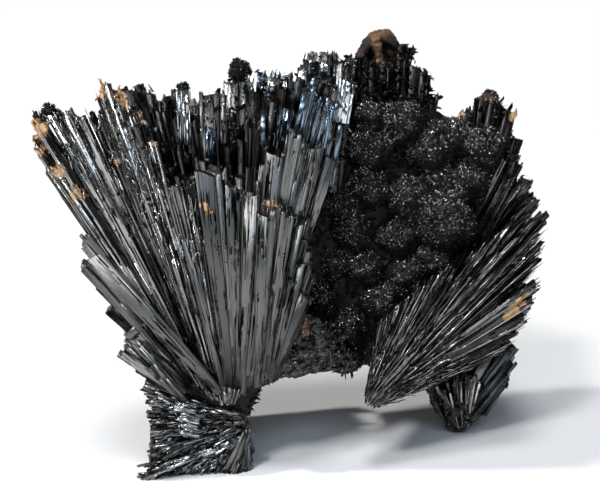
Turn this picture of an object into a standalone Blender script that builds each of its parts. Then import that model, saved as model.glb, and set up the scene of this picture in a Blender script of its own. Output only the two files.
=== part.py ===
"""A cabinet specimen of goethite: sprays of black, bladed crystals grown together in one mass,
a knobbly velvet crust lining the hollow between them, and a brown cap of limonite on top.

X runs from left to right along the specimen, Y from its face to its back, Z up from what it stands on.
Places and sizes are written in millimetres, and mm() turns them into Blender's metres.
"""

import math
import random

import bmesh
import bpy
from mathutils import Matrix, Vector

# ---- driving dimensions, in millimetres ----
CRUST_GAP = 0.3  # between the velvet crust and the crystals behind it
CAP_GAP = 0.3  # between the limonite cap and the crystals under it
FLOOR_SLAB = 30.0  # thickness of the block that cuts the feet off flat at the floor
SLAB_SIDE = 160.0  # width of that block

# ---- proportions of a crystal ----
OVERLAP_ACROSS = 1.25  # its width over the spacing of its column
OVERLAP_DEEP = 1.25  # its thickness over the spacing of its row
SIZE_SPREAD = 0.15  # its width and thickness vary by this share
ROOT_TAPER = 0.5  # its size at the root over its size at the tip
CORE_REACH = 0.75  # how far the solid core of a spray reaches towards the tips
SHORTEST, LONGEST = 0.91, 1.02  # its length over the distance from its root to the edge of the spray
ROLL_SPREAD = 16.0  # degrees either way about its own axis
TIP_SLOPE = 0.55  # steepest slope of a broken tip
BALL_SUBDIVISIONS = 2

# A spray is a bundle of crystals that fan out from a small root to a wide edge of tips.
# root and tips: a line at the face of the spray and a line at its back, from left to right.
# rows x columns: how many crystals. start: where they leave the root, as a share of their length.
SPRAYS = {
    "left_fan": dict(
        root=([(-17.0, -8.5, 15.0), (-13.0, -9.5, 13.5), (-6.8, -8.0, 17.0)],
              [(-17.0, 7.0, 15.0), (-12.0, 8.0, 14.0), (-5.0, 8.0, 18.0)]),
        tips=([(-43.2, -13.0, 60.5), (-42.2, -12.5, 67.7), (-38.1, -11.0, 66.4), (-33.1, -10.0, 71.0),
               (-29.9, -10.0, 67.2), (-25.5, -11.0, 60.9), (-21.1, -12.5, 56.0), (-16.9, -13.0, 58.5),
               (-11.5, -13.0, 57.8), (-6.4, -12.5, 59.5), (-2.5, -11.0, 64.0), (0.9, -9.0, 67.0),
               (5.0, -6.5, 70.0), (7.0, -4.0, 70.9)],
              [(-42.0, 4.0, 63.4), (-38.4, 5.0, 65.0), (-34.0, 6.0, 68.8), (-28.6, 7.0, 71.1),
               (-24.3, 8.0, 67.8), (-19.9, 9.0, 68.6), (-15.4, 9.0, 66.5), (-10.8, 9.0, 67.3),
               (-6.3, 10.0, 68.5), (-1.8, 11.0, 70.4), (2.7, 12.0, 72.8), (6.4, 13.0, 75.2),
               (9.5, 14.0, 75.7)]),
        rows=4, columns=13, start=0.18, seed=11,
    ),
    "left_edge": dict(
        root=([(-20.0, -8.5, 18.0), (-18.0, -9.0, 15.5)], [(-20.0, 2.0, 18.0), (-18.0, 2.0, 15.5)]),
        tips=([(-37.0, -12.0, 46.5), (-36.5, -12.0, 41.0), (-33.5, -11.0, 34.5), (-30.4, -10.5, 28.8)],
              [(-39.0, 1.0, 49.0), (-37.0, 1.0, 42.0), (-34.0, 1.0, 36.0), (-30.5, 1.0, 29.5)]),
        rows=2, columns=4, start=0.15, seed=12,
    ),
    "left_tuft": dict(
        root=([(-20.0, -8.0, 15.0), (-19.5, -8.0, 13.0)], [(-20.0, 2.0, 15.0), (-19.5, 2.0, 13.0)]),
        tips=([(-27.0, -9.0, 28.0), (-31.0, -9.0, 26.8), (-31.6, -9.0, 24.0), (-29.4, -9.0, 19.4),
               (-27.5, -8.0, 15.5)],
              [(-27.0, 3.0, 28.0), (-31.0, 3.0, 26.8), (-31.3, 3.0, 24.0), (-29.0, 3.0, 19.4),
               (-27.0, 3.0, 15.5)]),
        rows=2, columns=5, start=0.1, seed=13,
    ),
    "left_foot": dict(
        root=([(-10.0, -6.5, 11.0), (-10.0, -6.5, 6.0)], [(-11.0, 4.0, 11.0), (-11.0, 4.0, 6.0)]),
        tips=([(-27.2, -9.0, 16.2), (-27.6, -9.0, 12.0), (-26.6, -9.5, 8.5), (-27.0, -9.8, 4.5),
               (-29.5, -10.5, -1.0), (-20.0, -9.0, 1.0), (-14.0, -7.5, -1.0), (-9.5, -6.5, -1.5)],
              [(-26.0, 4.0, 15.0), (-26.0, 4.0, 11.0), (-25.5, 3.5, 7.5), (-25.5, 3.0, 3.5),
               (-25.0, 1.0, -1.0), (-18.0, 4.0, 1.0), (-13.0, 4.0, 0.0), (-9.0, 3.0, -1.0)]),
        rows=2, columns=7, start=0.0, seed=14,
    ),
    "front_column": dict(
        root=([(-8.0, -10.0, 17.0), (-5.0, -10.0, 18.0)], [(-8.0, -6.0, 17.0), (-5.0, -6.0, 18.0)]),
        tips=([(-6.6, -15.5, 53.0), (-3.3, -16.0, 53.5), (0.3, -15.2, 50.3), (0.8, -13.5, 37.0)],
              [(-6.4, -11.0, 52.5), (-3.0, -11.0, 53.0), (1.0, -10.0, 50.0), (2.0, -9.0, 37.0)]),
        rows=1, columns=4, start=0.1, seed=15,
    ),
    "right_fan": dict(
        root=([(11.5, -8.0, 13.5), (13.0, -8.0, 12.5)], [(16.0, 4.0, 17.0), (20.0, 5.0, 15.5)]),
        tips=([(13.9, -6.5, 28.0), (17.8, -6.0, 31.5), (21.8, -4.0, 34.0), (27.8, -2.0, 38.3),
               (35.9, 0.0, 43.4), (41.0, 1.0, 46.3), (44.2, 2.0, 44.0), (44.0, 2.0, 37.0),
               (43.6, 2.5, 31.7), (42.0, 2.5, 26.0), (39.2, 3.0, 21.0), (31.3, 1.0, 17.0)],
              [(18.0, 6.0, 28.0), (22.0, 7.0, 30.0), (27.0, 8.0, 35.0), (33.0, 10.0, 41.0),
               (40.0, 12.0, 47.0), (42.5, 12.0, 47.0), (43.8, 12.0, 42.0), (43.4, 12.0, 37.0),
               (43.0, 13.0, 31.0), (41.5, 13.0, 26.0), (38.5, 13.0, 21.0), (31.0, 12.0, 17.0)]),
        rows=2, columns=13, start=0.08, seed=16,
    ),
    "right_edge": dict(
        root=([(26.0, 6.0, 36.0), (26.0, 6.0, 32.0)], [(24.0, 16.0, 34.0), (24.0, 16.0, 30.0)]),
        tips=([(33.0, 8.0, 47.0), (37.5, 9.0, 53.6), (40.6, 9.0, 52.7), (43.0, 8.0, 50.0),
               (44.2, 6.0, 45.0)],
              [(33.0, 20.0, 50.0), (38.0, 20.0, 52.0), (41.0, 20.0, 49.0), (43.0, 19.0, 45.0),
               (43.5, 17.0, 39.0)]),
        rows=2, columns=5, start=0.15, seed=17,
    ),
    "right_peak": dict(
        root=([(26.0, 11.0, 42.0), (28.0, 11.0, 42.0)], [(26.0, 18.0, 42.0), (28.0, 18.0, 42.0)]),
        tips=([(27.9, 12.0, 59.5), (31.2, 12.5, 61.8), (34.3, 13.0, 65.4), (36.6, 13.0, 66.2),
               (38.9, 13.0, 63.0), (39.7, 12.0, 57.6)],
              [(27.0, 21.0, 57.0), (31.0, 22.0, 61.0), (34.0, 22.0, 63.5), (37.0, 21.0, 62.0),
               (39.0, 20.0, 58.0), (40.0, 20.0, 54.0)]),
        rows=2, columns=6, start=0.2, seed=18,
    ),
    "top": dict(
        root=([(5.0, 6.0, 36.0), (10.0, 8.0, 36.0)], [(5.0, 18.0, 36.0), (12.0, 18.0, 36.0)]),
        tips=([(8.5, 8.0, 71.0), (11.0, 12.0, 72.5), (14.0, 12.5, 71.5), (17.0, 13.0, 71.5),
               (20.0, 13.5, 71.5), (22.0, 14.0, 69.5), (24.0, 14.0, 66.4), (24.7, 14.0, 60.0)],
              [(4.0, 20.0, 70.0), (8.0, 22.0, 71.0), (12.0, 22.0, 70.0), (16.0, 22.0, 69.0),
               (20.0, 22.0, 68.0), (23.0, 22.0, 65.0), (25.0, 21.0, 60.0)]),
        rows=2, columns=8, start=0.25, seed=19,
    ),
    "right_foot": dict(
        root=([(27.0, 10.5, -2.0), (33.5, 11.0, -2.0)], [(27.5, 18.0, -2.0), (33.5, 18.0, -2.0)]),
        tips=([(25.0, 9.0, 8.5), (27.0, 8.0, 14.0), (33.0, 7.0, 18.0), (41.0, 8.0, 20.0),
               (40.0, 9.0, 14.0), (37.5, 10.0, 8.0)],
              [(25.0, 18.0, 9.0), (28.0, 19.0, 18.0), (33.0, 19.0, 22.0), (39.0, 18.0, 22.0),
               (38.5, 18.0, 15.0), (36.0, 17.0, 8.3)]),
        rows=2, columns=6, start=0.0, seed=20,
    ),
    "back_fan": dict(
        root=([(-2.0, 13.0, 18.0), (2.0, 13.0, 17.0)], [(-2.0, 18.0, 18.0), (2.0, 18.0, 17.0)]),
        tips=([(-39.0, 4.0, 58.0), (-32.0, 8.0, 65.0), (-22.0, 11.0, 66.5), (-9.0, 13.0, 67.5),
               (6.0, 17.0, 68.0), (18.0, 19.0, 65.0), (27.0, 19.0, 57.0), (36.0, 18.0, 51.0),
               (41.0, 17.0, 43.0), (40.0, 16.0, 31.0)],
              [(-35.0, 13.0, 53.0), (-29.0, 18.0, 61.0), (-19.0, 22.0, 62.0), (-8.0, 24.5, 63.0),
               (5.0, 26.0, 63.0), (17.0, 26.0, 60.0), (27.0, 26.0, 53.0), (34.0, 25.0, 47.0),
               (38.0, 23.0, 40.0), (37.0, 21.0, 30.0)]),
        rows=2, columns=12, start=0.1, seed=21,
    ),
    "back_foot": dict(
        root=([(-19.0, 11.0, -2.0), (-15.5, 11.0, -2.0)], [(-19.0, 17.0, -2.0), (-15.5, 17.0, -2.0)]),
        tips=([(-28.0, 9.0, 24.0), (-22.0, 8.0, 28.0), (-14.0, 8.0, 26.0), (-8.0, 10.0, 18.0)],
              [(-26.0, 17.0, 24.0), (-20.0, 20.0, 28.0), (-12.0, 21.0, 26.0), (-8.0, 20.0, 20.0)]),
        rows=2, columns=5, start=0.0, seed=22,
    ),
}

# The solid middle that carries the sprays, as the corners of two convex blocks.
HEART = [
    [(-4.0, -2.0, 20.5), (13.0, 3.0, 18.5), (30.0, 6.0, 21.0), (-6.0, 18.0, 19.0), (28.0, 20.0, 20.0),
     (8.0, 13.0, 66.0), (20.0, 16.0, 64.0), (5.0, 22.0, 65.0), (20.0, 23.0, 61.0),
     (37.0, 11.0, 48.0), (36.0, 21.0, 46.0), (-4.0, 4.0, 60.0), (-8.0, 18.0, 58.0)],
    [(-24.0, -7.0, 15.0), (-10.0, -7.5, 15.0), (-11.0, -5.0, 7.0), (-23.0, -6.0, 7.0),
     (-23.0, 3.0, 8.0), (-10.0, 3.0, 8.0), (-22.0, 14.0, 16.0), (-9.0, 14.0, 18.0),
     (-5.0, -5.0, 21.0), (-22.0, -6.0, 22.0)],
]

# Rounded knobs grown into the mass, on its top edge and under its middle: centre and radius.
KNOBS = [((-10.8, 8.0, 71.0), 2.7), ((-21.0, 8.0, 67.6), 1.8), ((36.4, 15.0, 63.2), 2.8),
         ((8.3, 3.0, 18.5), 3.6), ((13.9, 5.0, 19.5), 3.8)]

# The hollow that the crust lines, as a convex block: each corner of its opening, and of its back.
HOLLOW = [
    ((8.5, -3.0, 70.5), (10.5, 12.5, 67.5)), ((2.5, -8.0, 50.0), (6.0, 11.0, 50.0)),
    ((-3.0, -9.0, 27.0), (2.0, 8.0, 28.0)), ((2.0, -8.0, 17.5), (6.0, 7.5, 20.0)),
    ((37.0, -5.0, 46.0), (33.0, 11.0, 45.0)), ((39.0, 1.0, 53.0), (36.0, 13.0, 52.0)),
    ((38.0, 4.0, 60.5), (35.0, 13.5, 58.5)), ((24.0, 2.0, 67.0), (21.5, 13.5, 64.0)),
]
CRUST_FRONT = 0.75  # how far in from the opening the solid part of the crust begins
CRUST_EXCESS = 1.0  # how far that part reaches past the hollow before it is trimmed to it

# Lumps of the velvet crust: centre and radius.
LUMPS = [
    ((18.5, 9.5, 61.8), 5.2), ((13.6, 8.5, 65.0), 4.0), ((23.4, 9.5, 56.0), 4.8),
    ((12.6, 7.5, 57.0), 5.0), ((12.0, 5.5, 50.1), 4.6), ((7.9, 6.0, 47.5), 4.0),
    ((9.1, 4.0, 43.0), 4.2), ((17.6, 5.5, 40.7), 4.0), ((12.1, 4.0, 35.6), 4.0),
    ((6.4, 4.5, 36.0), 4.2), ((26.6, 5.0, 43.6), 6.2), ((25.0, 5.5, 36.8), 4.4),
    ((19.6, 7.5, 47.4), 4.8), ((25.2, 8.5, 51.0), 4.0), ((31.4, 8.5, 50.3), 4.6),
    ((33.4, 10.0, 56.0), 5.0), ((28.3, 11.5, 58.5), 4.2), ((14.8, 5.0, 29.3), 4.6),
    ((20.0, 6.0, 33.3), 4.2), ((3.7, 2.0, 29.6), 4.4), ((3.0, 0.5, 22.8), 4.0),
    ((8.5, 3.0, 24.2), 4.8),
]

# The limonite cap: a broken piece of a hollow dome, open at the face, with one rib inside.
CAP_CENTRE = (15.0, 20.0, 70.5)
CAP_RADII = (5.0, 4.6, 6.6)
CAP_WALL = 1.4
CAP_OPENING = 2.6  # how far the hollow is moved towards the face
CAP_FOOT = 68.0  # height where the dome ends
CAP_SEGMENTS, CAP_RINGS = 12, 7
RIB_FOOT, RIB_TIP, RIB_RADIUS = (16.2, 18.2, 67.8), (14.4, 18.6, 76.0), 0.8
RIB_SIDES = 6

BLACK = (0.016, 0.016, 0.018)
VELVET = (0.010, 0.010, 0.010)
BROWN = (0.20, 0.09, 0.035)


def mm(place):
    """A place in millimetres as a vector in metres."""
    return Vector(place) / 1000


def clear_scene():
    for obj in list(bpy.data.objects):
        bpy.data.objects.remove(obj, do_unlink=True)


def collection(name):
    found = bpy.data.collections.new(name)
    bpy.context.scene.collection.children.link(found)
    return found


def finish(name, color, roughness):
    material = bpy.data.materials.new(name)
    material.use_nodes = True
    shader = material.node_tree.nodes["Principled BSDF"]
    shader.inputs["Base Color"].default_value = (*color, 1.0)
    shader.inputs["Roughness"].default_value = roughness
    shader.inputs["Metallic"].default_value = 0.0
    return material


def object_from(bm, name, target):
    bmesh.ops.recalc_face_normals(bm, faces=bm.faces)
    mesh = bpy.data.meshes.new(name)
    bm.to_mesh(mesh)
    bm.free()
    obj = bpy.data.objects.new(name, mesh)
    target.objects.link(obj)
    return obj


def along(line, share):
    """The point at this share of the way along a list of points."""
    place = share * (len(line) - 1)
    index = min(int(place), len(line) - 2)
    return mm(line[index]).lerp(mm(line[index + 1]), place - index)


def between(lines, share, deep):
    """The point at this share along a pair of lines, and this far from the first line to the second."""
    return along(lines[0], share).lerp(along(lines[1], share), deep)


def crystal(name, root, tip, side, deep, chance, target):
    """A blade that widens from its root to a slanting broken tip. side and deep are half its section."""
    axis = tip - root
    roll = Matrix.Rotation(math.radians(chance.uniform(-ROLL_SPREAD, ROLL_SPREAD)), 3, axis)
    side, deep = roll @ side, roll @ deep
    slope_side, slope_deep = (chance.uniform(-TIP_SLOPE, TIP_SLOPE) for _ in range(2))
    slant = slope_side * side.length + slope_deep * deep.length
    bm = bmesh.new()
    bmesh.ops.create_cube(bm, size=2.0)
    for vertex in bm.verts:
        x, y, z = vertex.co
        if z < 0:
            vertex.co = root + (side * x + deep * y) * ROOT_TAPER
        else:
            lift = slope_side * x * side.length + slope_deep * y * deep.length - abs(slant) / 2
            vertex.co = tip + side * x + deep * y + axis.normalized() * lift
    object_from(bm, name, target)


def block(name, corners, target):
    """The convex solid around these corners, which are in metres."""
    bm = bmesh.new()
    for corner in corners:
        bm.verts.new(corner)
    hull = bmesh.ops.convex_hull(bm, input=bm.verts)
    spare = set(hull["geom_interior"] + hull["geom_unused"])
    inside = [part for part in spare if isinstance(part, bmesh.types.BMVert)]
    bmesh.ops.delete(bm, geom=inside, context="VERTS")
    return object_from(bm, name, target)


def hollow(name, front, gap, target):
    """The hollow's block, from this far in from its opening to its back, grown by gap on each axis."""
    corners = []
    for opening, back in HOLLOW:
        corners += [mm(opening).lerp(mm(back), front), mm(back)]
    centre = sum(corners, Vector()) / len(corners)
    grown = [place + Vector(math.copysign(gap / 1000, out) for out in place - centre)
             for place in corners]
    return block(name, grown, target)


def ball(name, centre, radius, target):
    """A rough round lump."""
    bm = bmesh.new()
    turn = Matrix.Rotation(sum(centre), 4, Vector((1, 1, 1)))
    bmesh.ops.create_icosphere(bm, subdivisions=BALL_SUBDIVISIONS, radius=radius / 1000,
                               matrix=Matrix.Translation(mm(centre)) @ turn)
    return object_from(bm, name, target)


def spray(name, form, target):
    """The crystals of one spray, in cells of its rows and columns, and the core that they stand on."""
    chance = random.Random(form["seed"])
    rows, columns, tips = form["rows"], form["columns"], form["tips"]
    corners = [mm(place) for line in form["root"] for place in line]
    for row in range(rows):
        deep_share = (row + 0.5) / rows
        for column in range(columns):
            share = (column + 0.5) / columns
            root, tip = between(form["root"], share, deep_share), between(tips, share, deep_share)
            axis = (tip - root).normalized()
            across = (between(tips, (column + 1) / columns, deep_share)
                      - between(tips, column / columns, deep_share))
            behind = (between(tips, share, 1) - between(tips, share, 0)) / rows
            deep = (behind - axis * behind.dot(axis)) * OVERLAP_DEEP / 2
            side = deep.cross(axis).normalized()
            side *= max(abs(across.dot(side)), across.length / 2) * OVERLAP_ACROSS / 2
            side *= 1 + chance.uniform(-SIZE_SPREAD, SIZE_SPREAD)
            deep *= 1 + chance.uniform(-SIZE_SPREAD, SIZE_SPREAD)
            reach = chance.uniform(SHORTEST, LONGEST)
            crystal(f"{name}_{row}_{column}", root.lerp(tip, form["start"]), root.lerp(tip, reach),
                    side, deep, chance, target)
            corners.append(root.lerp(tip, CORE_REACH))
    block(f"{name}_core", corners, target)


def ellipsoid(name, centre, radii, target):
    bm = bmesh.new()
    bmesh.ops.create_uvsphere(bm, u_segments=CAP_SEGMENTS, v_segments=CAP_RINGS, radius=1.0,
                              matrix=Matrix.Translation(mm(centre)) @ Matrix.Diagonal((*mm(radii), 1)))
    return object_from(bm, name, target)


def slab(name, top, target):
    """A wide block whose upper face lies at this height."""
    bm = bmesh.new()
    place = Matrix.Translation(mm((0, 0, top - FLOOR_SLAB / 2)))
    size = Matrix.Diagonal((*mm((SLAB_SIDE, SLAB_SIDE, FLOOR_SLAB)), 1))
    bmesh.ops.create_cube(bm, size=1.0, matrix=place @ size)
    return object_from(bm, name, target)


def cap(name, gap, target, helpers):
    """The limonite cap, grown by gap all round."""
    x, y, z = CAP_CENTRE
    dome = ellipsoid(name, CAP_CENTRE, [r + gap for r in CAP_RADII], target)
    inside = ellipsoid(f"{name}_hollow", (x, y - CAP_OPENING, z),
                       [r - CAP_WALL - gap for r in CAP_RADII], helpers)
    axis = mm(RIB_TIP) - mm(RIB_FOOT)
    radius = (RIB_RADIUS + gap) / 1000
    place = Matrix.LocRotScale((mm(RIB_TIP) + mm(RIB_FOOT)) / 2, axis.to_track_quat("Z", "Y"), None)
    bm = bmesh.new()
    bmesh.ops.create_cone(bm, cap_ends=True, segments=RIB_SIDES, radius1=radius, radius2=radius,
                          depth=axis.length, matrix=place)
    rib = object_from(bm, f"{name}_rib", helpers)
    boolean(dome, "DIFFERENCE", inside)
    boolean(dome, "UNION", rib)
    boolean(dome, "DIFFERENCE", slab(f"{name}_foot", CAP_FOOT - gap, helpers))
    return dome


def boolean(obj, operation, operand):
    """Cuts or joins with one object, or with all those of a collection."""
    modifier = obj.modifiers.new(operation.lower(), "BOOLEAN")
    modifier.operation = operation
    modifier.solver = "EXACT"
    if isinstance(operand, bpy.types.Collection):
        modifier.operand_type = "COLLECTION"
        modifier.collection = operand
    else:
        modifier.object = operand


def islands(bm):
    """The connected pieces of a mesh, as lists of faces."""
    left = set(bm.faces)
    while left:
        piece, front = [], [left.pop()]
        while front:
            face = front.pop()
            piece.append(face)
            near = {f for edge in face.edges for f in edge.link_faces} & left
            left -= near
            front.extend(near)
        yield piece


def volume(faces):
    """The signed volume inside these faces: a sealed pocket's is negative."""
    total = 0.0
    for face in faces:
        first, *rest = [vertex.co for vertex in face.verts]
        total += sum(first.dot(a.cross(b)) for a, b in zip(rest, rest[1:])) / 6
    return total


def keep_one_body(obj):
    """Applies the modifiers and keeps the largest skin: gaps shut in among the crystals turn solid."""
    seen = obj.evaluated_get(bpy.context.evaluated_depsgraph_get())
    bm = bmesh.new()
    bm.from_mesh(bpy.data.meshes.new_from_object(seen))
    pieces = sorted(islands(bm), key=volume)
    bmesh.ops.delete(bm, geom=[face for piece in pieces[:-1] for face in piece], context="FACES")
    obj.modifiers.clear()
    bm.to_mesh(obj.data)
    bm.free()


def corners_of(objects):
    """The lowest and highest corner of these objects together."""
    points = [vertex.co for obj in objects for vertex in obj.data.vertices]
    return (Vector(min(p[i] for p in points) for i in range(3)),
            Vector(max(p[i] for p in points) for i in range(3)))


def main():
    clear_scene()
    specimen, joined = collection("goethite_specimen"), collection("crystals_to_join")
    lumps, cutters = collection("lumps_to_join"), collection("cutters")
    for name, form in SPRAYS.items():
        spray(name, form, joined)
    for index, (centre, radius) in enumerate(KNOBS):
        ball(f"knob_{index}", centre, radius, joined)
    block("foot_heart", [mm(corner) for corner in HEART[1]], joined)

    mass = block("crystal_mass", [mm(corner) for corner in HEART[0]], specimen)
    crust = hollow("velvet_crust", CRUST_FRONT, CRUST_EXCESS, specimen)
    limonite = cap("limonite_cap", 0, specimen, cutters)
    for index, (centre, radius) in enumerate(LUMPS):
        ball(f"lump_{index}", centre, radius, lumps)
    boolean(crust, "UNION", lumps)
    boolean(crust, "INTERSECT", hollow("crust_limit", 0, 0, cutters))
    boolean(mass, "UNION", joined)
    boolean(mass, "DIFFERENCE", hollow("crust_socket", 0, CRUST_GAP, cutters))
    boolean(mass, "DIFFERENCE", cap("cap_socket", CAP_GAP, cutters, cutters))
    boolean(mass, "DIFFERENCE", slab("floor", 0, cutters))
    parts = [mass, crust, limonite]
    for group in (joined, lumps, cutters):
        for helper in group.objects:
            helper.hide_render = True
            helper.display_type = "WIRE"
    for part in parts:
        keep_one_body(part)

    mass.data.materials.append(finish("goethite", BLACK, 0.25))
    crust.data.materials.append(finish("velvet_goethite", VELVET, 0.6))
    limonite.data.materials.append(finish("limonite", BROWN, 0.7))
    low, high = corners_of(parts)
    stand = bpy.data.objects.new("stand_point", None)
    stand.location = (-(low.x + high.x) / 2, -(low.y + high.y) / 2, -low.z)
    specimen.objects.link(stand)
    for part in parts:
        part.parent = stand


main()
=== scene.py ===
# %% [markdown]
# # A goethite specimen, dressed on its frame
#
# Goethite is an iron mineral that grows as black, blade-like crystals. This specimen is a group of
# them: a wide spray on the left, a finer one low on the right, a velvety crust of tiny crystals in
# the hollow between them, and a brown cap of limonite, the rust that goethite weathers to. The
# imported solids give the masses, and this lesson grows the fine crystals on them.

# %% Load the frame
import math

import bmesh
import bpy
import numpy as np
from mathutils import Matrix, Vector


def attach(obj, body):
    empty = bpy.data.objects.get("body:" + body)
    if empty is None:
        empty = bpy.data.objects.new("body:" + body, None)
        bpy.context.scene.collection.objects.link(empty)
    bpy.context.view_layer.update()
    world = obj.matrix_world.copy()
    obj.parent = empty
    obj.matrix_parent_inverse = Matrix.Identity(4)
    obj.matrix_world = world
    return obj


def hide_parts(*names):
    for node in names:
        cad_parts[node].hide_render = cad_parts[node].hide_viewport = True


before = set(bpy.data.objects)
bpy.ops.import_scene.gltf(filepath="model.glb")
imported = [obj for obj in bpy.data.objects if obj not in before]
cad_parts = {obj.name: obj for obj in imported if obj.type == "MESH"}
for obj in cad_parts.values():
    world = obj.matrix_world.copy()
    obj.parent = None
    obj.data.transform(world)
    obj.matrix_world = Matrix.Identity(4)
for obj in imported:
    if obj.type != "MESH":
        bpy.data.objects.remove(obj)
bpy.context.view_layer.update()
print("nodes:", sorted(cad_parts))

# %% [markdown]
# ## Millimetres and a zero point
# The guides below are in millimetres from a zero point of their own. One shift takes them all to
# the frame, where the specimen stands on the middle of its base.

# %% Units
MM = 0.001
STAND_POINT = np.array((-0.5393, -5.2594, 0.0))
IN_MM = (1 / MM, 1 / MM, 1 / MM)
CLEARANCE = 0.0001  # metres between the floor and what stands on it


def in_frame(places):
    """Places in millimetres from the guides' zero point, as metres in the frame."""
    return (np.asarray(places, float) + STAND_POINT) * MM


def deselect():
    if bpy.context.mode != "OBJECT":
        bpy.ops.object.mode_set(mode="OBJECT")
    bpy.ops.object.select_all(action="DESELECT")


deselect()

# %% [markdown]
# ## The camera
# Hand specimens are shown from a little above, with a long lens that keeps the blades straight.
# The camera is aimed at a point halfway up.

# %% Camera
VIEW_DOWN = math.radians(16)
VIEW_DISTANCE = 300.0
VIEW_HEIGHT = 40.0
LENS = 100.0
NEAREST = 0.01
away = np.array((0, -math.cos(VIEW_DOWN), math.sin(VIEW_DOWN))) * VIEW_DISTANCE
eye = in_frame(away + (0, 0, VIEW_HEIGHT))
bpy.ops.object.camera_add(location=eye, rotation=(math.pi / 2 - VIEW_DOWN, 0, 0))
camera = bpy.context.active_object
camera.data.lens = LENS
camera.data.clip_start = NEAREST
bpy.context.scene.camera = camera
print("camera at", [round(v, 3) for v in camera.location])

# %% [markdown]
# ## Shader sums
# A finish is easier to read as a sum than as a picture of boxes. Wire stands for a socket, and
# each + - * ** on it adds the Math node that does it. Finish makes every other node.

# %% Shader helpers
class Wire:
    """The output of a shader node."""

    def __init__(self, finish, socket):
        self.finish = finish
        self.socket = socket

    def math(self, operation, *values):
        return self.finish.node("Math", {"operation": operation}, dict(enumerate(values)))

    def __add__(self, other):
        return self.math("ADD", self, other)

    def __sub__(self, other):
        return self.math("SUBTRACT", self, other)

    def __rsub__(self, other):
        return self.math("SUBTRACT", other, self)

    def __mul__(self, other):
        return self.math("MULTIPLY", self, other)

    __radd__ = __add__

    def __pow__(self, other):
        return self.math("POWER", self, other)

    def __abs__(self):
        return self.math("ABSOLUTE", self)

    def higher(self, other):
        return self.math("MAXIMUM", self, other)

    def ramp(self, low, high, to_low=0, to_high=1):
        """Rises smoothly from to_low to to_high while the value goes from low to high."""
        limits = {"From Min": low, "From Max": high, "To Min": to_low, "To Max": to_high}
        return self.finish.node("MapRange", {"interpolation_type": "SMOOTHSTEP"},
                                {"Value": self, **limits})


class Finish:
    """A material, and the one method that adds nodes to it."""

    def __init__(self, name):
        self.material = bpy.data.materials.new(name)
        self.material.use_nodes = True
        self.tree = self.material.node_tree
        self.shader = self.tree.nodes["Principled BSDF"]

    def put(self, socket, value):
        if isinstance(value, Wire):
            self.tree.links.new(value.socket, socket)
        else:
            socket.default_value = value

    def node(self, kind, settings=None, sockets=None, output=0):
        node = self.tree.nodes.new("ShaderNode" + kind)
        for key, value in (settings or {}).items():
            setattr(node, key, value)
        for key, value in (sockets or {}).items():
            self.put(node.inputs[key], value)
        return Wire(self, node.outputs[output])

    def place(self):
        return self.node("TexCoord", output="Object")

    def attribute(self, name, output):
        return self.node("Attribute", {"attribute_name": name}, output=output)

    def scaled(self, where, by):
        return self.node("VectorMath", {"operation": "MULTIPLY"}, {0: where, 1: by})

    def noise(self, where, scale=1, detail=3, roughness=0.55):
        return self.node("TexNoise", {}, {"Vector": where, "Scale": scale, "Detail": detail,
                                          "Roughness": roughness})

    def blend(self, share, first, second):
        return self.node("Mix", {"data_type": "RGBA"}, {0: share, 6: first, 7: second}, output=2)

    def bump(self, height, distance):
        return self.node("Bump", {}, {"Height": height, "Distance": distance})

    def set(self, **values):
        for key, value in values.items():
            self.put(self.shader.inputs[key.replace("_", " ")], value)


def grey(level):
    return (level, level, level, 1)

# %% [markdown]
# ## Where rust has settled
# Brown limonite has dried on in patches: thick and pale on the tips at the far left, thin on a few
# faces, and as one bright streak on the right spray. Each patch is a spot whose edge is torn by
# two noises. One of them is drawn out along the crystal, so that the rust runs in streaks.

# %% Limonite stains
STAINS = [  # place in millimetres from the guides' zero point, radius, strength
    ((-44.6, -12.5, 65), 2.8, 1), ((-44.2, -12.5, 61.5), 2.6, 1), ((-41.4, -12.5, 57.8), 2.2, 1),
    ((-38, -12.5, 53.4), 2.4, 0.8), ((-33.8, -10, 71), 2.6, 0.8), ((-29.8, -9.5, 69.8), 2.6, 1),
    ((-26.3, -9.5, 66.3), 2.2, 0.9), ((-24, -10, 62), 2.4, 0.8), ((-30.9, -12, 58.5), 1.8, 0.9),
    ((-12.8, -11, 59.6), 1.2, 1), ((-16, -13.6, 51.6), 2.4, 0.54), ((-5, -15, 52.6), 2.4, 0.66),
    ((-4.4, -16, 48.2), 1.6, 0.6), ((-2.6, -9, 20.6), 1.4, 0.7), ((37.4, -1.5, 28), 1.3, 1),
    ((38.6, -1.4, 29.4), 1.4, 1), ((39.8, -1.3, 30.8), 1.4, 1), ((40.9, -1.2, 32), 1.2, 1),
    ((35, 12.6, 65), 1.8, 0.8), ((28.6, 12.8, 62), 3, 0.85), ((39.6, 12, 62.4), 1.8, 0.9),
    ((0, -6.5, 26.5), 3.2, 0.62), ((13, 13, 71.6), 1.6, 0.5), ((-1, -6.5, 21), 2, 0.4),
]
STREAK_SCALE = (1.1, 1.1, 0.22)
TORN_SCALE = 300.0
SPOT_REACH = 1.6
STREAK_EFFECT = 3.2
TORN_EFFECT = 3.4
PATCH_EDGE = (0.42, 0.68)


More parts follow.
